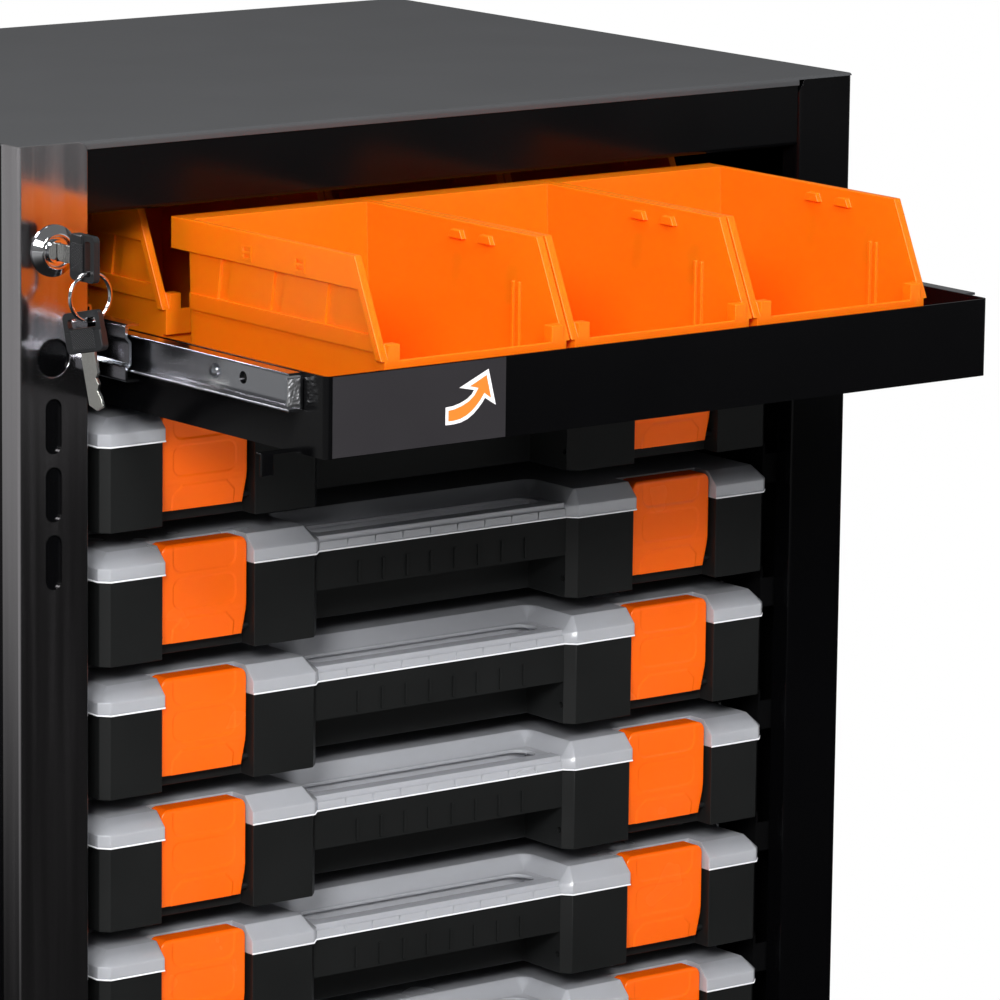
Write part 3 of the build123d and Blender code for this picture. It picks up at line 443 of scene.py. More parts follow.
def smooth_shaded(piece, angle=36):
    """Smooth across small angles only, with flat faces kept flat to the eye."""
    mesh = piece.data
    mesh.polygons.foreach_set("use_smooth", [True] * len(mesh.polygons))
    mesh.set_sharp_from_angle(angle=math.radians(angle))
    weighted = piece.modifiers.new("weighted", "WEIGHTED_NORMAL")
    weighted.keep_sharp = True
    weighted.weight = 80
    return baked(piece)


def dressed(node, name, width, paint, segments=2):
    """A copy of a CAD solid with its sharp edges rounded by a real radius."""
    work = bmesh.new()
    work.from_mesh(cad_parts[node].data)
    bmesh.ops.remove_doubles(work, verts=work.verts, dist=MERGE)
    bmesh.ops.dissolve_limit(work, angle_limit=FLAT_JOINT, verts=work.verts, edges=work.edges)
    work.normal_update()
    roomy = {v: all(e.calc_length() > EDGE_ROOM * width for e in v.link_edges) for v in work.verts}
    edges = [
        e for e in work.edges
        if len(e.link_faces) == 2 and e.calc_face_angle(0) > SHARP_EDGE and all(roomy[v] for v in e.verts)
    ]
    if edges and width > 0:
        bmesh.ops.bevel(
            work, geom=edges, offset=width, segments=segments, profile=0.5, affect="EDGES",
            clamp_overlap=True, offset_type="OFFSET", miter_outer="SHARP",
        )
    return smooth_shaded(new_piece(name, work, paint))


def dress(node, name, width, paint, body, slot, segments=2):
    """Stands a dressed copy in for a CAD node, on the node's own body."""
    put(dressed(node, name, width, paint, segments), body, slot, node)


def repeated(piece, name, offset):
    """The piece itself where the offset is nought, else a like one, its place in its mesh."""
    if not any(offset):
        return piece
    other = piece.copy()
    other.name = name
    other.data = piece.data.copy()
    other.data.name = name
    other.data.transform(Matrix.Translation(Vector(offset) * MM))
    bpy.context.scene.collection.objects.link(other)
    return other


def turned(profile, steps=64):
    """A lathe shape about +Y from (radius, y) points in mm, closed where they reach the axis."""
    work = bmesh.new()
    around = [2 * math.pi * i / steps for i in range(steps)]
    rings = []
    for radius, y in profile:
        if radius < 1e-6:
            rings.append([work.verts.new((0, y * MM, 0))])
        else:
            rings.append([
                work.verts.new((radius * MM * math.cos(a), y * MM, radius * MM * math.sin(a))) for a in around
            ])
    for a, b in zip(rings, rings[1:]):
        for i in range(steps):
            j = (i + 1) % steps
            corners = [a[i % len(a)], a[j % len(a)], b[j % len(b)], b[i % len(b)]]
            unique = list(dict.fromkeys(corners))
            if len(unique) > 2:
                work.faces.new(unique)
    return work


# --- geometry nodes -----------------------------------------------------------------------------


def node_group(name, sockets):
    """An empty Geometry Nodes tree with named inputs."""
    tree = bpy.data.node_groups.new(name, "GeometryNodeTree")
    tree.interface.new_socket("Geometry", in_out="INPUT", socket_type="NodeSocketGeometry")
    for label, kind in sockets:
        tree.interface.new_socket(label, in_out="INPUT", socket_type=kind)
    tree.interface.new_socket("Geometry", in_out="OUTPUT", socket_type="NodeSocketGeometry")
    return tree, add(tree, "NodeGroupInput"), add(tree, "NodeGroupOutput")


def made_real(tree, placed, source, result):
    """Ends a tree: instances made real and given the finish."""
    real = add(tree, "GeometryNodeRealizeInstances", {"Geometry": placed.outputs["Instances"]})
    painted = add(tree, "GeometryNodeSetMaterial", {
        "Geometry": real.outputs[0], "Material": source.outputs["Finish"],
    })
    tree.links.new(painted.outputs[0], result.inputs[0])
    return tree


def run_tree(piece, tree, values):
    """Puts a tree on a piece with its inputs set by identifier, and bakes it."""
    modifier = piece.modifiers.new(tree.name, "NODES")
    modifier.node_group = tree
    for item in tree.interface.items_tree:
        if item.item_type == "SOCKET" and item.in_out == "INPUT" and item.name in values:
            modifier[item.identifier] = values[item.name]
    return baked(piece)


def scatter_tree():
    """The pattern piece on every point of the host, its +Z along the point's 'out' vector."""
    tree = bpy.data.node_groups.get("screws_on_points")
    if tree:
        return tree
    tree, source, result = node_group("screws_on_points", [
        ("Pattern", "NodeSocketObject"), ("Size", "NodeSocketFloat"), ("Finish", "NodeSocketMaterial"),
    ])
    pattern = add(tree, "GeometryNodeObjectInfo", {"Object": source.outputs["Pattern"]})
    out = add(tree, "GeometryNodeInputNamedAttribute", {"Name": "out"}, data_type="FLOAT_VECTOR")
    turn = add(tree, "FunctionNodeAlignRotationToVector", {"Vector": out.outputs[0]}, axis="Z")
    placed = add(tree, "GeometryNodeInstanceOnPoints", {
        "Points": source.outputs["Geometry"], "Instance": pattern.outputs["Geometry"],
        "Rotation": turn.outputs["Rotation"], "Scale": source.outputs["Size"],
    })
    return made_real(tree, placed, source, result)


def ball_row_tree():
    """A row of balls along Y from each point of the host."""
    tree = bpy.data.node_groups.get("ball_rows")
    if tree:
        return tree
    tree, source, result = node_group("ball_rows", [
        ("Count", "NodeSocketInt"), ("Spacing", "NodeSocketFloat"), ("Radius", "NodeSocketFloat"),
        ("Finish", "NodeSocketMaterial"),
    ])
    step = add(tree, "ShaderNodeCombineXYZ", {"Y": source.outputs["Spacing"]})
    row = add(tree, "GeometryNodeMeshLine", {"Count": source.outputs["Count"], "Offset": step.outputs[0]})
    ball = add(tree, "GeometryNodeMeshIcoSphere", {"Radius": source.outputs["Radius"], "Subdivisions": 2})
    smooth = add(tree, "GeometryNodeSetShadeSmooth", {"Geometry": ball.outputs[0]})
    balls = add(tree, "GeometryNodeInstanceOnPoints", {
        "Points": row.outputs[0], "Instance": smooth.outputs[0],
    })
    rows = add(tree, "GeometryNodeInstanceOnPoints", {
        "Points": source.outputs["Geometry"], "Instance": balls.outputs[0],
    })
    return made_real(tree, rows, source, result)


def host(name, spots, outs=()):
    """A mesh of loose points in mm, with an 'out' vector on each where it is given."""
    mesh = bpy.data.meshes.new(name)
    mesh.from_pydata([Vector(s) * MM for s in spots], [], [])
    if outs:
        attribute = mesh.attributes.new("out", "FLOAT_VECTOR", "POINT")
        for item, value in zip(attribute.data, outs):
            item.vector = value
    return standing(name, mesh)


# --- operators ------------------------------------------------------------------------------------


class CABINET_OT_shell(bpy.types.Operator):
    """Side panels, top, rail, bottom and back in enamel and powder coat"""

    bl_idname = "cabinet.shell"
    bl_label = "Cabinet shell"

    def execute(self, context):
        edge = context.scene.cabinet.sizes.sheet_edge
        for node in ("side_panel_left", "side_panel_right", "top_rail", "bottom_panel", "back_panel"):
            dress(node, node + "_sheet", edge, "gloss_enamel_black", "cabinet", "cabinet_black")
        dress("top_panel", "top_panel_sheet", edge, "powder_coat_matte_grey", "cabinet", "cabinet_top")
        return {"FINISHED"}


class CABINET_OT_runners(bpy.types.Operator):
    """Uprights and case runners in satin enamel"""

    bl_idname = "cabinet.runners"
    bl_label = "Runners"

    def execute(self, context):
        edge = context.scene.cabinet.sizes.sheet_edge
        for node in ("runner_uprights", "case_runners"):
            dress(node, node + "_steel", edge, "satin_enamel_black", "cabinet", "runner_black")
        return {"FINISHED"}


def screw_pattern():
    """A pan-head screw along +Z, its seat at the origin, with a cross recess."""
    work = turned([
        (0, 1.05), (1.5, 1.05), (1.6, 1.78), (2.3, 1.62), (3.0, 1.2), (3.4, 0.6), (SCREW_RADIUS, 0.0),
        (2.0, 0.0), (2.0, 0.6 - SCREW_SHANK), (1.6, -SCREW_SHANK), (0, -SCREW_SHANK),
    ], 24)
    bmesh.ops.rotate(work, verts=work.verts, matrix=Matrix.Rotation(math.radians(90), 3, "X"))
    # the recess is a cross: its rim is drawn in at the quarters between the arms
    recess_floor, rim_low, rim_high, drawn_in = 0.9, 1.4, 1.7, 0.62
    for v in work.verts:
        radius = math.hypot(v.co.x, v.co.y) / MM
        if v.co.z > recess_floor * MM and rim_low < radius < rim_high:
            quarter = abs(math.sin(2 * math.atan2(v.co.y, v.co.x)))
            shrink = 1 - drawn_in * quarter ** 0.6
            v.co.x *= shrink
            v.co.y *= shrink
    return closed_piece("screw_pattern", work, "bright_zinc_plate", 40)


def screws(name, spots, way, radius):
    """Screws seated on the spots, heads away from the cabinet's middle, or towards it where way is -1."""
    outs = [(way * math.copysign(1, x), 0, 0) for x, y, z in spots]
    pattern = screw_pattern()
    piece = host(name, spots, outs)
    run_tree(piece, scatter_tree(), {
        "Pattern": pattern, "Size": radius / (SCREW_RADIUS * MM), "Finish": finish("bright_zinc_plate"),
    })
    bpy.data.objects.remove(pattern)
    return piece


class CABINET_OT_screws(bpy.types.Operator):
    """Pan-head screws of the runners and slides"""

    bl_idname = "cabinet.screws"
    bl_label = "Screws"

    def execute(self, context):
        radius = context.scene.cabinet.sizes.screw_radius
        spots = []
        for side in (-1, 1):
            for y in FRAME_SCREW_Y:
                for i in range(CASE_COUNT):
                    level = LOWEST_CASE + i * CASE_PITCH - RUNNER_SCREW_DROP
                    spots.append((side * RUNNER_SCREW_X, FRONT + y, level))
                spots.append((side * SLIDE_SCREW_X, FRONT + y, SLIDE_LEVEL))
        put(screws("frame_screw_set", spots, -1, radius), "cabinet", "zinc", "frame_screws")
        spots = [(side * TRAY_SCREW_X, TRAY_FRONT + y, SLIDE_LEVEL) for side in (-1, 1) for y in TRAY_SCREW_Y]
        put(screws("tray_screw_set", spots, 1, radius), "drawer", "zinc", "tray_screws")
        return {"FINISHED"}


class CABINET_OT_slides(bpy.types.Operator):
    """Drawer slide members in zinc-plated strip"""

    bl_idname = "cabinet.slides"
    bl_label = "Slides"

    def execute(self, context):
        for member, body in (("outer", "cabinet"), ("middle", "slide_middles"), ("inner", "drawer")):
            for hand in ("left", "right"):
                node = f"slide_{member}_{hand}"
                dress(node, node + "_strip", SLIDE_EDGE * MM, "bright_zinc_plate", body, "zinc", 3)
        return {"FINISHED"}


def outline_of(rows):
    """The vertices round the edge of a grid of rows, in order."""
    return rows[0] + [row[-1] for row in rows[1:]] + rows[-1][-2::-1] + [row[0] for row in rows[-2:0:-1]]


def hammered_tab(name, low, high):
    """Crumpled face over a slide's turned end, in facets of under half a millimetre."""
    work = bmesh.new()
    across, tall = TAB_FACETS
    span = high - low
    rows = []
    for j in range(tall + 1):
        row = []
        for i in range(across + 1):
            lift = TAB_EDGE
            if 0 < i < across and 0 < j < tall:
                lift = TAB_LIFT + TAB_ROUGH * noise.noise(Vector((3.7 * i + 0.4, 5.3 * j + 0.7, 0.5)))
            x, z = low.x + span.x * i / across, low.z + span.z * j / tall
            row.append(work.verts.new(Vector((x, low.y - lift, z)) * MM))
        rows.append(row)
    for a, b in zip(rows, rows[1:]):
        for i in range(across):
            work.faces.new((a[i], a[i + 1], b[i + 1]))
            work.faces.new((a[i], b[i + 1], b[i]))
    rim = outline_of(rows)
    back = [work.verts.new(v.co + Vector((0, TAB_BACK, 0)) * MM) for v in rim]
    for k in range(len(rim)):
        n = (k + 1) % len(rim)
        work.faces.new((rim[k], back[k], back[n], rim[n]))
    work.faces.new(back)
    return closed_piece(name, work, "hammered_zinc")


class CABINET_OT_slide_ends(bpy.types.Operator):
    """Hammered faces on the turned ends of the drawer's slide members"""

    bl_idname = "cabinet.slide_ends"
    bl_label = "Slide ends"

    def execute(self, context):
        for hand, margins in (("left", (TAB_NEAR, TAB_FAR)), ("right", (TAB_FAR, TAB_NEAR))):
            low, high = (Vector(corner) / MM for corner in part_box(f"slide_inner_{hand}"))
            middle = (low.z + high.z) / 2
            put(hammered_tab(
                f"slide_end_{hand}", Vector((low.x + margins[0], low.y, middle - TAB_HALF)),
                Vector((high.x - margins[1], low.y, middle + TAB_HALF)),
            ), "drawer", "zinc")
        return {"FINISHED"}


class CABINET_OT_balls(bpy.types.Operator):
    """Balls between the slide members"""

    bl_idname = "cabinet.balls"
    bl_label = "Slide balls"

    def execute(self, context):
        sizes = context.scene.cabinet.sizes
        for side, hand in ((-1, "left"), (1, "right")):
            spots = [(side * BALL_X, FIRST_BALL, SLIDE_LEVEL + z) for z in (-BALL_LEVEL, BALL_LEVEL)]
            balls = host(f"slide_balls_{hand}", spots)
            run_tree(balls, ball_row_tree(), {
                "Count": BALL_COUNT, "Spacing": sizes.ball_spacing, "Radius": sizes.ball_radius,
                "Finish": finish("chromed_zinc"),
            })
            put(balls, "slide_middles", "zinc")
        return {"FINISHED"}


class CABINET_OT_tray(bpy.types.Operator):
    """Drawer tray in gloss enamel, with its printed label"""

    bl_idname = "cabinet.tray"
    bl_label = "Drawer tray"

    def execute(self, context):
        edge = context.scene.cabinet.sizes.sheet_edge
        dress("drawer_tray", "tray_sheet", edge, "gloss_enamel_black", "drawer", "cabinet_black")
        dress("drawer_label", "label_film", 0.0, "printed_vinyl_dark", "drawer", "label")
        low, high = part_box("drawer_label")
        # a plain arrow, in mm across and down from the label's upper left corner
        border = [
            (62.8, 19.9), (67, 19.6), (71, 18.7), (75, 17.1), (77.6, 15.2), (78.8, 13.4), (70.6, 11.6),
            (87, 4.5), (91.3, 21.4), (85.1, 17.6), (83.6, 19.6), (81.2, 22.1), (78.6, 24.3), (75.3, 26.3),
            (71.6, 27.5), (67.5, 28), (62.8, 28),
        ]
        inner = [
            (64.4, 21.5), (67.6, 21.2), (71.8, 20.1), (75.8, 18.4), (79, 16), (81.3, 12.7), (76.4, 11.5),
            (85.9, 7.2), (88.6, 18), (84.7, 15.3), (82.4, 18.4), (80.1, 20.8), (77.7, 22.8), (74.7, 24.6),
            (71.2, 25.9), (67.5, 26.4), (64.4, 26.4),
        ]
        for name, outline, paint, lift in (
            ("arrow_border", border, "printed_ink_white", 0.04), ("arrow", inner, "printed_ink_orange", 0.08),
        ):
            work = bmesh.new()
            y = low.y - lift * MM
            ring = [work.verts.new((low.x + u * MM, y, high.z - v * MM)) for u, v in outline]
            face = work.faces.new(ring)
            back = bmesh.ops.extrude_face_region(work, geom=[face])["geom"]
            for v in back:
                if isinstance(v, bmesh.types.BMVert):
                    v.co.y = low.y + FILM_SUNK * MM
            put(closed_piece(name, work, paint), "drawer", "label")
        return {"FINISHED"}


class CABINET_OT_bins(bpy.types.Operator):
    """Six moulded bins, one shape repeated"""

    bl_idname = "cabinet.bins"
    bl_label = "Bins"

    def execute(self, context):
        edge = context.scene.cabinet.sizes.bin_edge
        first = dressed("bin_f1", "bin_front_1", edge, "moulded_polypropylene_orange")
        for row, word in enumerate(("front", "rear")):
            for column in range(3):
                offset = (column * BIN_PITCH[0], row * BIN_PITCH[1], 0)
                piece = repeated(first, f"bin_{word}_{column + 1}", offset)
                put(piece, "drawer", "bin_orange", f"bin_{word[0]}{column + 1}")
        return {"FINISHED"}


def bead(name, paths, level, paint):
    """A thin round bead along paths of (x, y) points at one level, in mm."""
    work = bmesh.new()
    around = [2 * math.pi * k / RIM_SIDES for k in range(RIM_SIDES)]
    for path in paths:
        points = [Vector((x, y, 0)) for x, y in path]
        ways = [(b - a).normalized() for a, b in zip(points, points[1:])]
        rings = []
        for point, before, after in zip(points, ways[:1] + ways, ways + ways[-1:]):
            along = (before + after).normalized()
            side = Vector((along.y, -along.x, 0)) / max(0.3, along.dot(after))
            rings.append([
                work.verts.new((
                    point + side * RIM_RADIUS * math.cos(a) + Vector((0, 0, level + RIM_RADIUS * math.sin(a)))
                ) * MM) for a in around
            ])
        joined(work, rings)
        work.faces.new(rings[0])
        work.faces.new(rings[-1])
    return closed_piece(name, work, paint, 60)


class CABINET_OT_lid_rims(bpy.types.Operator):
    """Bead along the front lower edge of every lid, its near-white a painted highlight"""

    bl_idname = "cabinet.lid_rims"
    bl_label = "Lid rims"

    def execute(self, context):
        notch = (-LATCH_X - LATCH_NOTCH, -LATCH_X + LATCH_NOTCH)
        corner = [
            (-LID_HALF, CASE_FRONT + LID_RETURN), (-LID_HALF, CASE_FRONT + LID_CUT),
            (LID_CUT - LID_HALF, CASE_FRONT), (notch[0], CASE_FRONT),
        ]
        half = [
            (notch[1], CASE_FRONT), (-GRIP_OUTER, CASE_FRONT), (-GRIP_INNER, CASE_FRONT + GRIP_DEPTH),
        ]
        middle = half + [(-x, y) for x, y in reversed(half)]
        paths = [corner, middle, [(-x, y) for x, y in corner]]
        # the bead's near-white finish is a painted highlight along the lid's lower edge
        first = bead("case_1_lid_rim", paths, TOP_CASE + RIM_LEVEL, "moulded_lid_rim")
        for i in range(CASE_COUNT):
            piece = repeated(first, f"case_{i + 1}_lid_rim", (0, 0, -i * CASE_PITCH))
            put(piece, f"case_{i + 1}", "lid_clear")
        return {"FINISHED"}


class CABINET_OT_cases(bpy.types.Operator):
    """Organiser cases: black base and clear lid"""

    bl_idname = "cabinet.cases"
    bl_label = "Organiser cases"

    def execute(self, context):
        sizes = context.scene.cabinet.sizes
        base = dressed("case_1_base", "case_1_base_moulding", sizes.case_edge, "moulded_polypropylene_black")
        lid = dressed("case_1_lid", "case_1_lid_moulding", sizes.lid_edge, "clear_polypropylene_lid")
        for i in range(CASE_COUNT):
            down = (0, 0, -i * CASE_PITCH)
            for first, kind, slot in ((base, "base", "case_black"), (lid, "lid", "lid_clear")):
                piece = repeated(first, f"case_{i + 1}_{kind}_moulding", down)
                put(piece, f"case_{i + 1}", slot, f"case_{i + 1}_{kind}")
        return {"FINISHED"}


def eased(value):
    """A smooth step from 0 to 1."""
    value = min(1.0, max(0.0, value))
    return value * value * (3 - 2 * value)


def rounding(reach, radius):
    """How far a rounded edge has fallen back this near to it."""
    return radius - math.sqrt(max(0.0, radius ** 2 - (radius - min(radius, max(0.0, reach))) ** 2))


def inside_box(x, z, middle, half_x, half_z, radius):
    """Distance into a rounded box, below zero outside."""
    a, b = abs(x) - half_x + radius, abs(z - middle) - half_z + radius
    return radius - math.hypot(max(a, 0.0), max(b, 0.0)) - min(max(a, b), 0.0)


def latch_half(z):
    """Half the latch's width at a height: round above, drawn in below."""
    if z > LATCH_HIGH - LATCH_CORNER:
        rise = min(LATCH_CORNER, z - LATCH_HIGH + LATCH_CORNER)
        return LATCH_HALF - LATCH_CORNER + math.sqrt(LATCH_CORNER ** 2 - rise ** 2)
    return LATCH_HALF - LATCH_TAPER * max(0.0, LATCH_BEND - z) / (LATCH_BEND - LATCH_LOW)


def latch_depth(x, z, edge):
    """How far the moulded face lies behind the latch's foremost plane, in mm."""
    across, rise = abs(x) - LATCH_HALF + LATCH_CORNER, z - LATCH_HIGH + LATCH_CORNER
    if across > 0 and rise > 0:
        near = LATCH_CORNER - math.hypot(across, rise)
    else:
        near = min(latch_half(z) - abs(x), LATCH_HIGH - z)
    depth = max(rounding(near, edge), rounding(LATCH_HIGH - z, LATCH_TOP_ROUND))
    depth = max(depth, rounding(z - LATCH_LOW, LATCH_FOOT_ROUND))
    depth += LATCH_SLANT * max(0.0, LATCH_BEND - z) / (LATCH_BEND - LATCH_LOW)
    for level, half_x, half_z, corner, deep, soft in LATCH_DISHES:
        depth += deep * eased(inside_box(x, z, level, half_x, half_z, corner) / soft + 0.5)
    beside = max(abs(x) - PAD_HALF, z - PAD_TOP, (abs(x) + z - PAD_CORNER) / math.sqrt(2))
    depth += PAD_DEPTH * eased(beside / PAD_SOFT) * (1 - eased((z - PAD_END) / PAD_FADE))
    return min(depth, LATCH_WALL - LATCH_LAP)


def stations(low, high, edge, pitch):
    """Places from low to high, closer together towards both ends."""
    steps = 4
    near = [edge * (1 - math.cos(math.pi / 2 * i / steps)) for i in range(steps + 1)]
    count = round((high - low - 2 * edge) / pitch)
    middle = [low + edge + (high - low - 2 * edge) * i / count for i in range(1, count)]
    return [low + n for n in near] + middle + [high - n for n in reversed(near)]


def latch_moulding(name, edge):
    """The latch as one shell: relief in front, flat behind, its hook reaching back at the top."""
    work = bmesh.new()

    def spot(x, y, z):
        return work.verts.new(Vector((x - LATCH_X, LATCH_FACE + y, TOP_CASE + z)) * MM)

    # one row of vertices runs along the hook and none crowds it
    heights = stations(LATCH_LOW, LATCH_HIGH, LATCH_FINE, LATCH_GRID)
    heights = sorted([z for z in heights if abs(z - LATCH_HOOK) > 0.2] + [LATCH_HOOK])
    shares = [x / LATCH_HALF for x in stations(-LATCH_HALF, LATCH_HALF, LATCH_FINE, LATCH_GRID)]
    face = []
    for z in heights:
        xs = [share * latch_half(z) for share in shares]
        face.append([spot(x, latch_depth(x, z, edge), z) for x in xs])
    for a, b in zip(face, face[1:]):
        for k in range(len(shares) - 1):
            work.faces.new((a[k], a[k + 1], b[k + 1], b[k]))
    rim = outline_of(face)
    hook = (TOP_CASE + LATCH_HOOK) * MM
    behind = []
    for v in rim:
        x, z = v.co.x / MM + LATCH_X, v.co.z / MM - TOP_CASE
        plate = spot(x, LATCH_WALL, z) if v.co.z < hook + 1e-6 else None
        reach = spot(x, LATCH_REACH, z) if v.co.z > hook - 1e-6 else None
        behind.append((plate, reach))
    for k, v in enumerate(rim):
        n = (k + 1) % len(rim)
        (plate, reach), (next_plate, next_reach) = behind[k], behind[n]
        if plate and next_plate:
            work.faces.new((v, plate, next_plate, rim[n]))
        else:
            corners = [v, plate, reach, next_reach, next_plate, rim[n]]
            work.faces.new([c for c in corners if c])
    work.faces.new([plate for plate, reach in behind if plate])
    work.faces.new([reach for plate, reach in behind if reach])
    steps = [pair for pair in behind if pair[0] and pair[1]]
    work.faces.new((steps[0][0], steps[0][1], steps[1][1], steps[1][0]))
    # boss for the pin along the lower back, let into the plate
    seat = LATCH_WALL - LATCH_LAP
    ends = []
    for x in (-BOSS_HALF, BOSS_HALF):
        ring = [spot(x, seat, LATCH_PIVOT - BOSS_RADIUS)]
        for degrees in range(-90, 91, 15):
            a = math.radians(degrees)
            y, z = LATCH_WALL + BOSS_RADIUS * math.cos(a), LATCH_PIVOT + BOSS_RADIUS * math.sin(a)
            ring.append(spot(x, y, z))
        ends.append(ring + [spot(x, seat, LATCH_PIVOT + BOSS_RADIUS)])
    joined(work, ends)
    for ring in ends:
        work.faces.new(ring)
    return closed_piece(name, work, "latch_polypropylene_orange", 40)


def latch_pin_painted_shade(name):
    """Ends of the pin on which a latch turns, seen beside it in the notch, in black as painted shade of the
    gap there.
    """
    work = bmesh.new()
    for x in (-PIN_X, PIN_X):
        middle = Vector((x - LATCH_X, LATCH_FACE + LATCH_WALL, TOP_CASE + LATCH_PIVOT)) * MM
        bmesh.ops.create_cone(
            work, cap_ends=True, segments=20, radius1=PIN_RADIUS * MM, radius2=PIN_RADIUS * MM,
            depth=PIN_LENGTH * MM,
            matrix=Matrix.Translation(middle) @ Matrix.Rotation(math.radians(90), 4, "Y"),
        )
    # painted shade: the ends of the orange latch's pin take the bases' black, so the notch reads as a dark
    # gap
    return smooth_shaded(new_piece(name, work, "moulded_polypropylene_black"))


class CABINET_OT_latches(bpy.types.Operator):
    """Two snap latches on every case"""

    bl_idname = "cabinet.latches"
    bl_label = "Latches"

    def execute(self, context):
        edge = context.scene.cabinet.sizes.latch_edge / MM
        first = latch_moulding("case_1_latch_left_moulding", edge)
        pins = latch_pin_painted_shade("case_1_latch_left_pin")
        for i in range(CASE_COUNT):
            for hand, x in (("left", 0), ("right", 2 * LATCH_X)):
                name = f"case_{i + 1}_latch_{hand}"
                place = (x, 0, -i * CASE_PITCH)
                put(repeated(first, name + "_moulding", place), name, "latch_orange", name)
                put(repeated(pins, name + "_pin", place), name, "case_black")
        return {"FINISHED"}


class CABINET_OT_trim_bar(bpy.types.Operator):
    """Folded stainless trim bar on the left stile"""

    bl_idname = "cabinet.trim_bar"
    bl_label = "Trim bar"

    def execute(self, context):
        edge = context.scene.cabinet.sizes.sheet_edge
        dress("lock_bar", "trim_bar", edge, "polished_stainless", "cabinet", "stainless")
        return {"FINISHED"}


def bezel_and_barrel():
    """Turned lock cylinder: (radius, y) points in mm with y from the back of the bezel, on the bar."""
    profile = [
        (12.15, 0.0), (12.15, -0.7), (11.9, -1.0), (8.9, -3.55), (8.5, -3.85), (7.9, -4.0), (7.4, -3.9),
        (7.15, -3.5), (7.0, -2.9), (6.7, -2.75), (5.62, -2.75), (5.62, 21.5), (8.6, 21.5),
    ]
    crest, root, turns, thread_end = 9.2, 8.7, 18, 20.9  # a thread of 1 mm pitch
    for turn in range(turns):
        profile += [(crest, thread_end - turn), (root, thread_end - turn - 0.5)]
    profile += [(crest, 2.4), (crest, 0.0)]
    work = turned(profile + profile[:1])
    bmesh.ops.remove_doubles(work, verts=work.verts, dist=1e-7)
    bmesh.ops.translate(work, verts=work.verts, vec=Vector((LOCK_X, BEZEL_SEAT, LOCK_Z)) * MM)
    return closed_piece("lock_cylinder", work, "chromed_zinc", 28)


class CABINET_OT_lock(bpy.types.Operator):
    """Cylinder lock with its plug, nut, cam, rod and bracket"""

    bl_idname = "cabinet.lock"
    bl_label = "Lock"

    def execute(self, context):
        put(bezel_and_barrel(), "cabinet", "chrome", "lock_body")
        for node, name, edge, paint, body, slot in (
            ("lock_plug", "lock_plug_turned", 0.25, "chromed_zinc", "lock_core", "chrome"),
            ("lock_nut", "lock_hex_nut", 0.4, "bright_zinc_plate", "cabinet", "zinc"),
            ("lock_cam", "lock_cam_steel", 0.3, "bright_zinc_plate", "lock_core", "zinc"),
            ("lock_rod", "lock_rod_strip", 0.3, "bright_zinc_plate", "lock_rod", "zinc"),
            ("lock_bracket", "lock_guide_bracket", 0.25, "bright_zinc_plate", "cabinet", "zinc"),
        ):
            dress(node, name, edge * MM, paint, body, slot)
        return {"FINISHED"}


KEY_PLACE = Matrix.Translation(Vector((LOCK_X, KEY_SHOULDER, LOCK_Z)) * MM)
RING_CENTRE = Vector((
    LOCK_X, KEY_SHOULDER - HEAD_LENGTH + SLOT_INSET + SLOT_HALF,
    LOCK_Z - (HEAD_HEIGHT / 2 - SLOT_SIDE) + SLOT_PLAY - RING_RADIUS,
))
SPARE_PLACE = (
    Matrix.Translation((RING_CENTRE - Vector((0, 0, SPARE_DROP))) * MM)
    @ Matrix.Rotation(SPARE_TURN, 4, "Z")
    @ Matrix.Rotation(SPARE_TILT, 4, "X")
    @ Matrix.Translation(Vector(SPARE_SLOT) * MM)
)


def grip_plate(name, place):
    """Knurled square on both faces of a key head, in the key's own frame."""
    work = bmesh.new()
    uv = work.loops.layers.uv.new("grip")
    (low_y, low_z), (high_y, high_z) = GRIP_LOW, GRIP_HIGH
    for side in (-1, 1):
        rings = []
        for inset, height in GRIP_STEPS:
            near_y, near_z, far_y, far_z = low_y + inset, low_z + inset, high_y - inset, high_z - inset
            corners = ((near_y, near_z), (far_y, near_z), (far_y, far_z), (near_y, far_z))
            x = side * (HEAD_HALF + height)
            rings.append([work.verts.new(Vector((x, y, z)) * MM) for y, z in corners])
        work.faces.new(rings[-1])
        joined(work, rings)
        work.faces.new(list(reversed(rings[0])))
    for face in work.faces:
        for loop in face.loops:
            loop[uv].uv = (loop.vert.co.y / MM, loop.vert.co.z / MM)
    piece = closed_piece(name, work, "knurled_abs")
    piece.data.transform(place)
    return piece


def split_ring():
    """Two turns of flat wire that step over each other."""
    work = bmesh.new()
    rings = []
    for i in range(RING_STEPS + 1):
        turn = RING_START + RING_TURNS * i / RING_STEPS
        over = RING_GAP * (2 * eased((turn - RING_CROSSING[0]) / RING_CROSSING[1]) - 1)
        angle = 2 * math.pi * turn + RING_ANGLE
        radial = Vector((math.cos(angle), 0, math.sin(angle)))
        centre = RING_CENTRE + radial * RING_RADIUS + Vector((0, over, 0))
        ring = []
        for k in range(RING_SIDES):
            a = 2 * math.pi * k / RING_SIDES
            wire = radial * RING_WIRE[0] * math.cos(a) + Vector((0, RING_WIRE[1] * math.sin(a), 0))
            ring.append(work.verts.new((centre + wire) * MM))
        rings.append(ring)
    joined(work, rings)
    work.faces.new(rings[0])
    work.faces.new(list(reversed(rings[-1])))
    return closed_piece("split_ring", work, "chromed_zinc", 50)


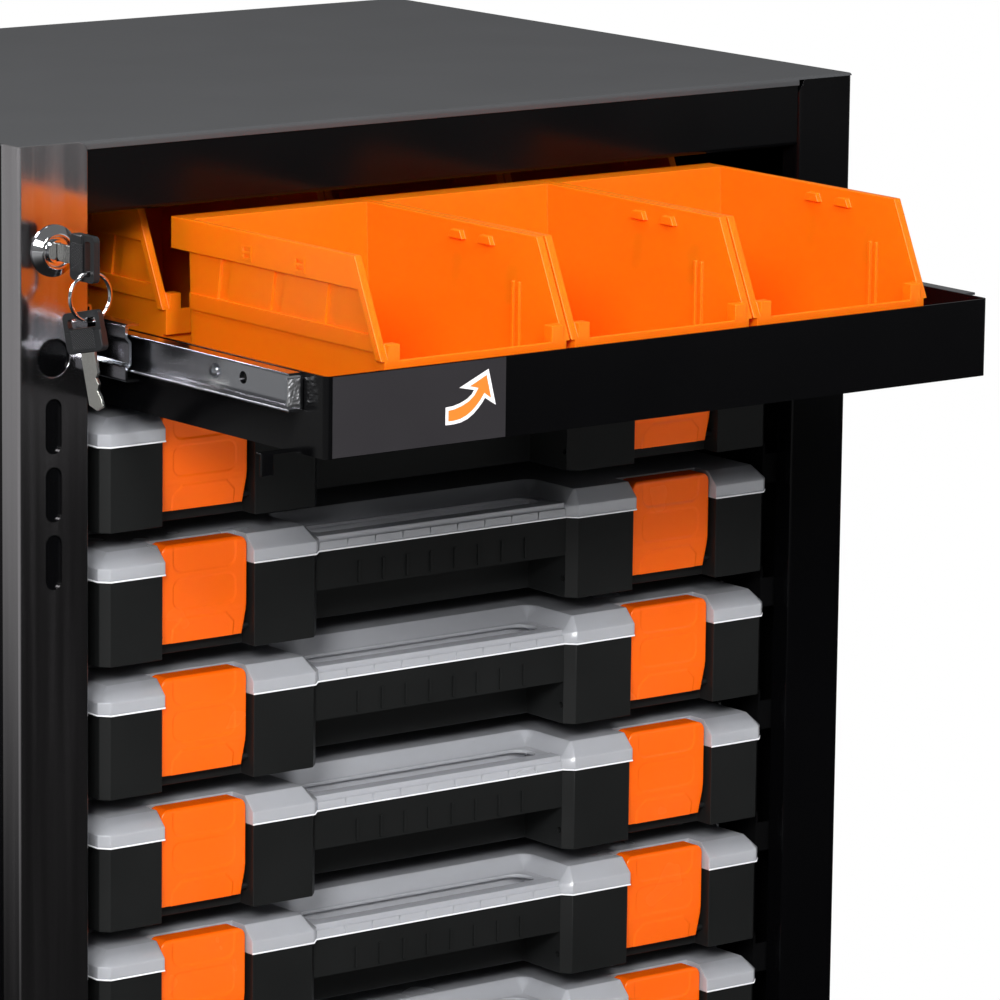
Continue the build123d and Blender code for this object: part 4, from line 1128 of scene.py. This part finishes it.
class CABINET_OT_keys(bpy.types.Operator):
    """Key in the lock, split ring and spare key"""

    bl_idname = "cabinet.keys"
    bl_label = "Keys"

    def execute(self, context):
        for key, body, place in (("key", "lock_core", KEY_PLACE), ("spare_key", "spare_key", SPARE_PLACE)):
            dress(key + "_blade", key + "_blank", BLADE_EDGE * MM, "nickel_silver", body, "chrome")
            head = key + "_head"
            dress(head, key + "_moulded_head", HEAD_EDGE * MM, "abs_black_key_head", body, "key_black", 3)
            put(grip_plate(key + "_grip", place), body, "key_black")
        put(split_ring(), "key_ring", "chrome", "key_ring")
        return {"FINISHED"}


def white_floor():
    """Pale paper that keeps the shadow round the cabinet's foot and turns plain white away from it."""
    paint = bpy.data.materials.new("pale_floor")
    paint.use_nodes = True
    tree = paint.node_tree
    paper = tree.nodes["Principled BSDF"]
    paper.inputs["Base Color"].default_value = linear("#e9e9e8") + (1,)
    paper.inputs["Roughness"].default_value = 0.8
    rays = add(tree, "ShaderNodeLightPath").outputs
    seen = rays["Is Camera Ray"]
    for other in ("Is Glossy Ray", "Is Transmission Ray"):
        seen = add(tree, "ShaderNodeMath", {0: seen, 1: rays[other]}, operation="MAXIMUM").outputs[0]
    away = add(tree, "ShaderNodeNewGeometry").outputs["Position"]
    for operation, inputs in (("ABSOLUTE", {}), ("SUBTRACT", {1: FOOT_HALF}), ("MAXIMUM", {1: (0, 0, 0)})):
        away = add(tree, "ShaderNodeVectorMath", {0: away, **inputs}, operation=operation).outputs[0]
    away = add(tree, "ShaderNodeVectorMath", {0: away}, operation="LENGTH").outputs["Value"]
    far = add(tree, "ShaderNodeMapRange", {
        "Value": away, "From Min": SHADOW_NEAR, "From Max": SHADOW_FAR,
    }, interpolation_type="SMOOTHSTEP").outputs["Result"]
    share = add(tree, "ShaderNodeMath", {0: seen, 1: far}, operation="MULTIPLY").outputs[0]
    white = add(tree, "ShaderNodeEmission", {"Color": (1, 1, 1, 1), "Strength": 1.0}).outputs[0]
    mixed = add(tree, "ShaderNodeMixShader", {0: share, 1: paper.outputs[0], 2: white}).outputs[0]
    tree.links.new(mixed, tree.nodes["Material Output"].inputs["Surface"])
    return paint


def dark_card():
    """Card on the studio floor that only polished faces see: black near the cabinet, pale to its left."""
    paint = bpy.data.materials.new("dark_card")
    paint.use_nodes = True
    tree = paint.node_tree
    place = add(tree, "ShaderNodeNewGeometry").outputs["Position"]
    left = add(tree, "ShaderNodeVectorMath", {0: place, 1: (-1, 0, 0)}, operation="DOT_PRODUCT")
    away = add(tree, "ShaderNodeVectorMath", {0: place}, operation="LENGTH")
    pale = []
    for distance, (near, far, most) in ((left, CARD_LEFT), (away, CARD_FAR)):
        pale.append(add(tree, "ShaderNodeMapRange", {
            "Value": distance.outputs["Value"], "From Min": near, "From Max": far,
            "To Min": CARD_BLACK, "To Max": most,
        }, interpolation_type="SMOOTHSTEP").outputs["Result"])
    most = add(tree, "ShaderNodeMath", {0: pale[0], 1: pale[1]}, operation="MAXIMUM")
    glow = add(tree, "ShaderNodeEmission", {"Strength": most.outputs[0]})
    tree.links.new(glow.outputs[0], tree.nodes["Material Output"].inputs["Surface"])
    return paint


def ground(name, half, level, paint):
    """A square of the studio floor, in metres."""
    work = bmesh.new()
    bmesh.ops.create_grid(work, x_segments=1, y_segments=1, size=half)
    mesh = bpy.data.meshes.new(name)
    work.to_mesh(mesh)
    work.free()
    mesh.materials.append(paint)
    piece = standing(name, mesh)
    piece.location.z = level
    return piece


def photograph_camera(scene):
    """The photograph's view: yaw from the back to the right, pitch down, a slight roll."""
    yaw, pitch, roll = CAMERA_YAW, CAMERA_PITCH, CAMERA_ROLL
    level = math.cos(pitch)
    ahead = Vector((math.sin(yaw) * level, math.cos(yaw) * level, -math.sin(pitch)))
    right = Vector((math.cos(yaw), -math.sin(yaw), 0))
    up = right.cross(ahead)
    side = math.cos(roll) * right + math.sin(roll) * up
    top = -math.sin(roll) * right + math.cos(roll) * up
    lens = bpy.data.cameras.new("camera")
    lens.sensor_width = CAMERA_SENSOR
    lens.lens = CAMERA_SENSOR * CAMERA_REACH
    lens.clip_end = CAMERA_END
    camera = bpy.data.objects.new("camera", lens)
    rows = [(side[i], top[i], -ahead[i], CAMERA_PLACE[i]) for i in range(3)]
    camera.matrix_world = Matrix((*rows, (0, 0, 0, 1)))
    scene.collection.objects.link(camera)
    scene.camera = camera


class CABINET_OT_stage(bpy.types.Operator):
    """Camera, soft lights, pale floor and grey surroundings"""

    bl_idname = "cabinet.stage"
    bl_label = "Stage"

    def execute(self, context):
        scene = context.scene
        scene.view_settings.view_transform = "Standard"
        photograph_camera(scene)
        for name, place, target, size, power in LAMPS:
            lamp = bpy.data.lights.new(name, "AREA")
            lamp.size = size
            lamp.energy = power
            light = bpy.data.objects.new(name, lamp)
            turn = (Vector(target) - Vector(place)).to_track_quat("-Z", "Y")
            light.matrix_world = Matrix.Translation(place) @ turn.to_matrix().to_4x4()
            scene.collection.objects.link(light)
        world = bpy.data.worlds.new("soft_surroundings")
        scene.world = world
        world.use_nodes = True
        world.node_tree.nodes["Background"].inputs["Color"].default_value = (SURROUNDINGS,) * 3 + (1,)
        ground("floor", FLOOR_HALF, FLOOR_LEVEL, white_floor())
        card = ground("dark_card", CARD_HALF, CARD_LEVEL, dark_card())
        for sight in ("visible_camera", "visible_diffuse", "visible_shadow", "visible_transmission"):
            setattr(card, sight, False)
        return {"FINISHED"}


operators = (
    CABINET_OT_stage, CABINET_OT_shell, CABINET_OT_runners, CABINET_OT_screws, CABINET_OT_slides,
    CABINET_OT_slide_ends, CABINET_OT_balls, CABINET_OT_tray, CABINET_OT_bins, CABINET_OT_cases,
    CABINET_OT_lid_rims, CABINET_OT_latches, CABINET_OT_trim_bar, CABINET_OT_lock, CABINET_OT_keys,
)


class CABINET_PT_parts(bpy.types.Panel):
    """Lists the cabinet's pieces"""

    bl_idname = "CABINET_PT_parts"
    bl_label = "Parts bin cabinet"
    bl_space_type = "VIEW_3D"
    bl_region_type = "UI"
    bl_category = "Cabinet"

    def draw(self, context):
        for kind in operators:
            self.layout.operator(kind.bl_idname)
        settings = context.scene.cabinet
        for group in (settings.colours, settings.sizes):
            column = self.layout.column()
            for name in group.__annotations__:
                column.prop(group, name)


classes = (CabinetColours, CabinetSizes, CabinetSettings, *operators, CABINET_PT_parts)


def register():
    for kind in classes:
        bpy.utils.register_class(kind)
    bpy.types.Scene.cabinet = bpy.props.PointerProperty(type=CabinetSettings)


def unregister():
    del bpy.types.Scene.cabinet
    for kind in reversed(classes):
        bpy.utils.unregister_class(kind)


def main():
    register()
    for kind in operators:
        group, name = kind.bl_idname.split(".")
        getattr(getattr(bpy.ops, group), name)()


if __name__ == "__main__":
    main()
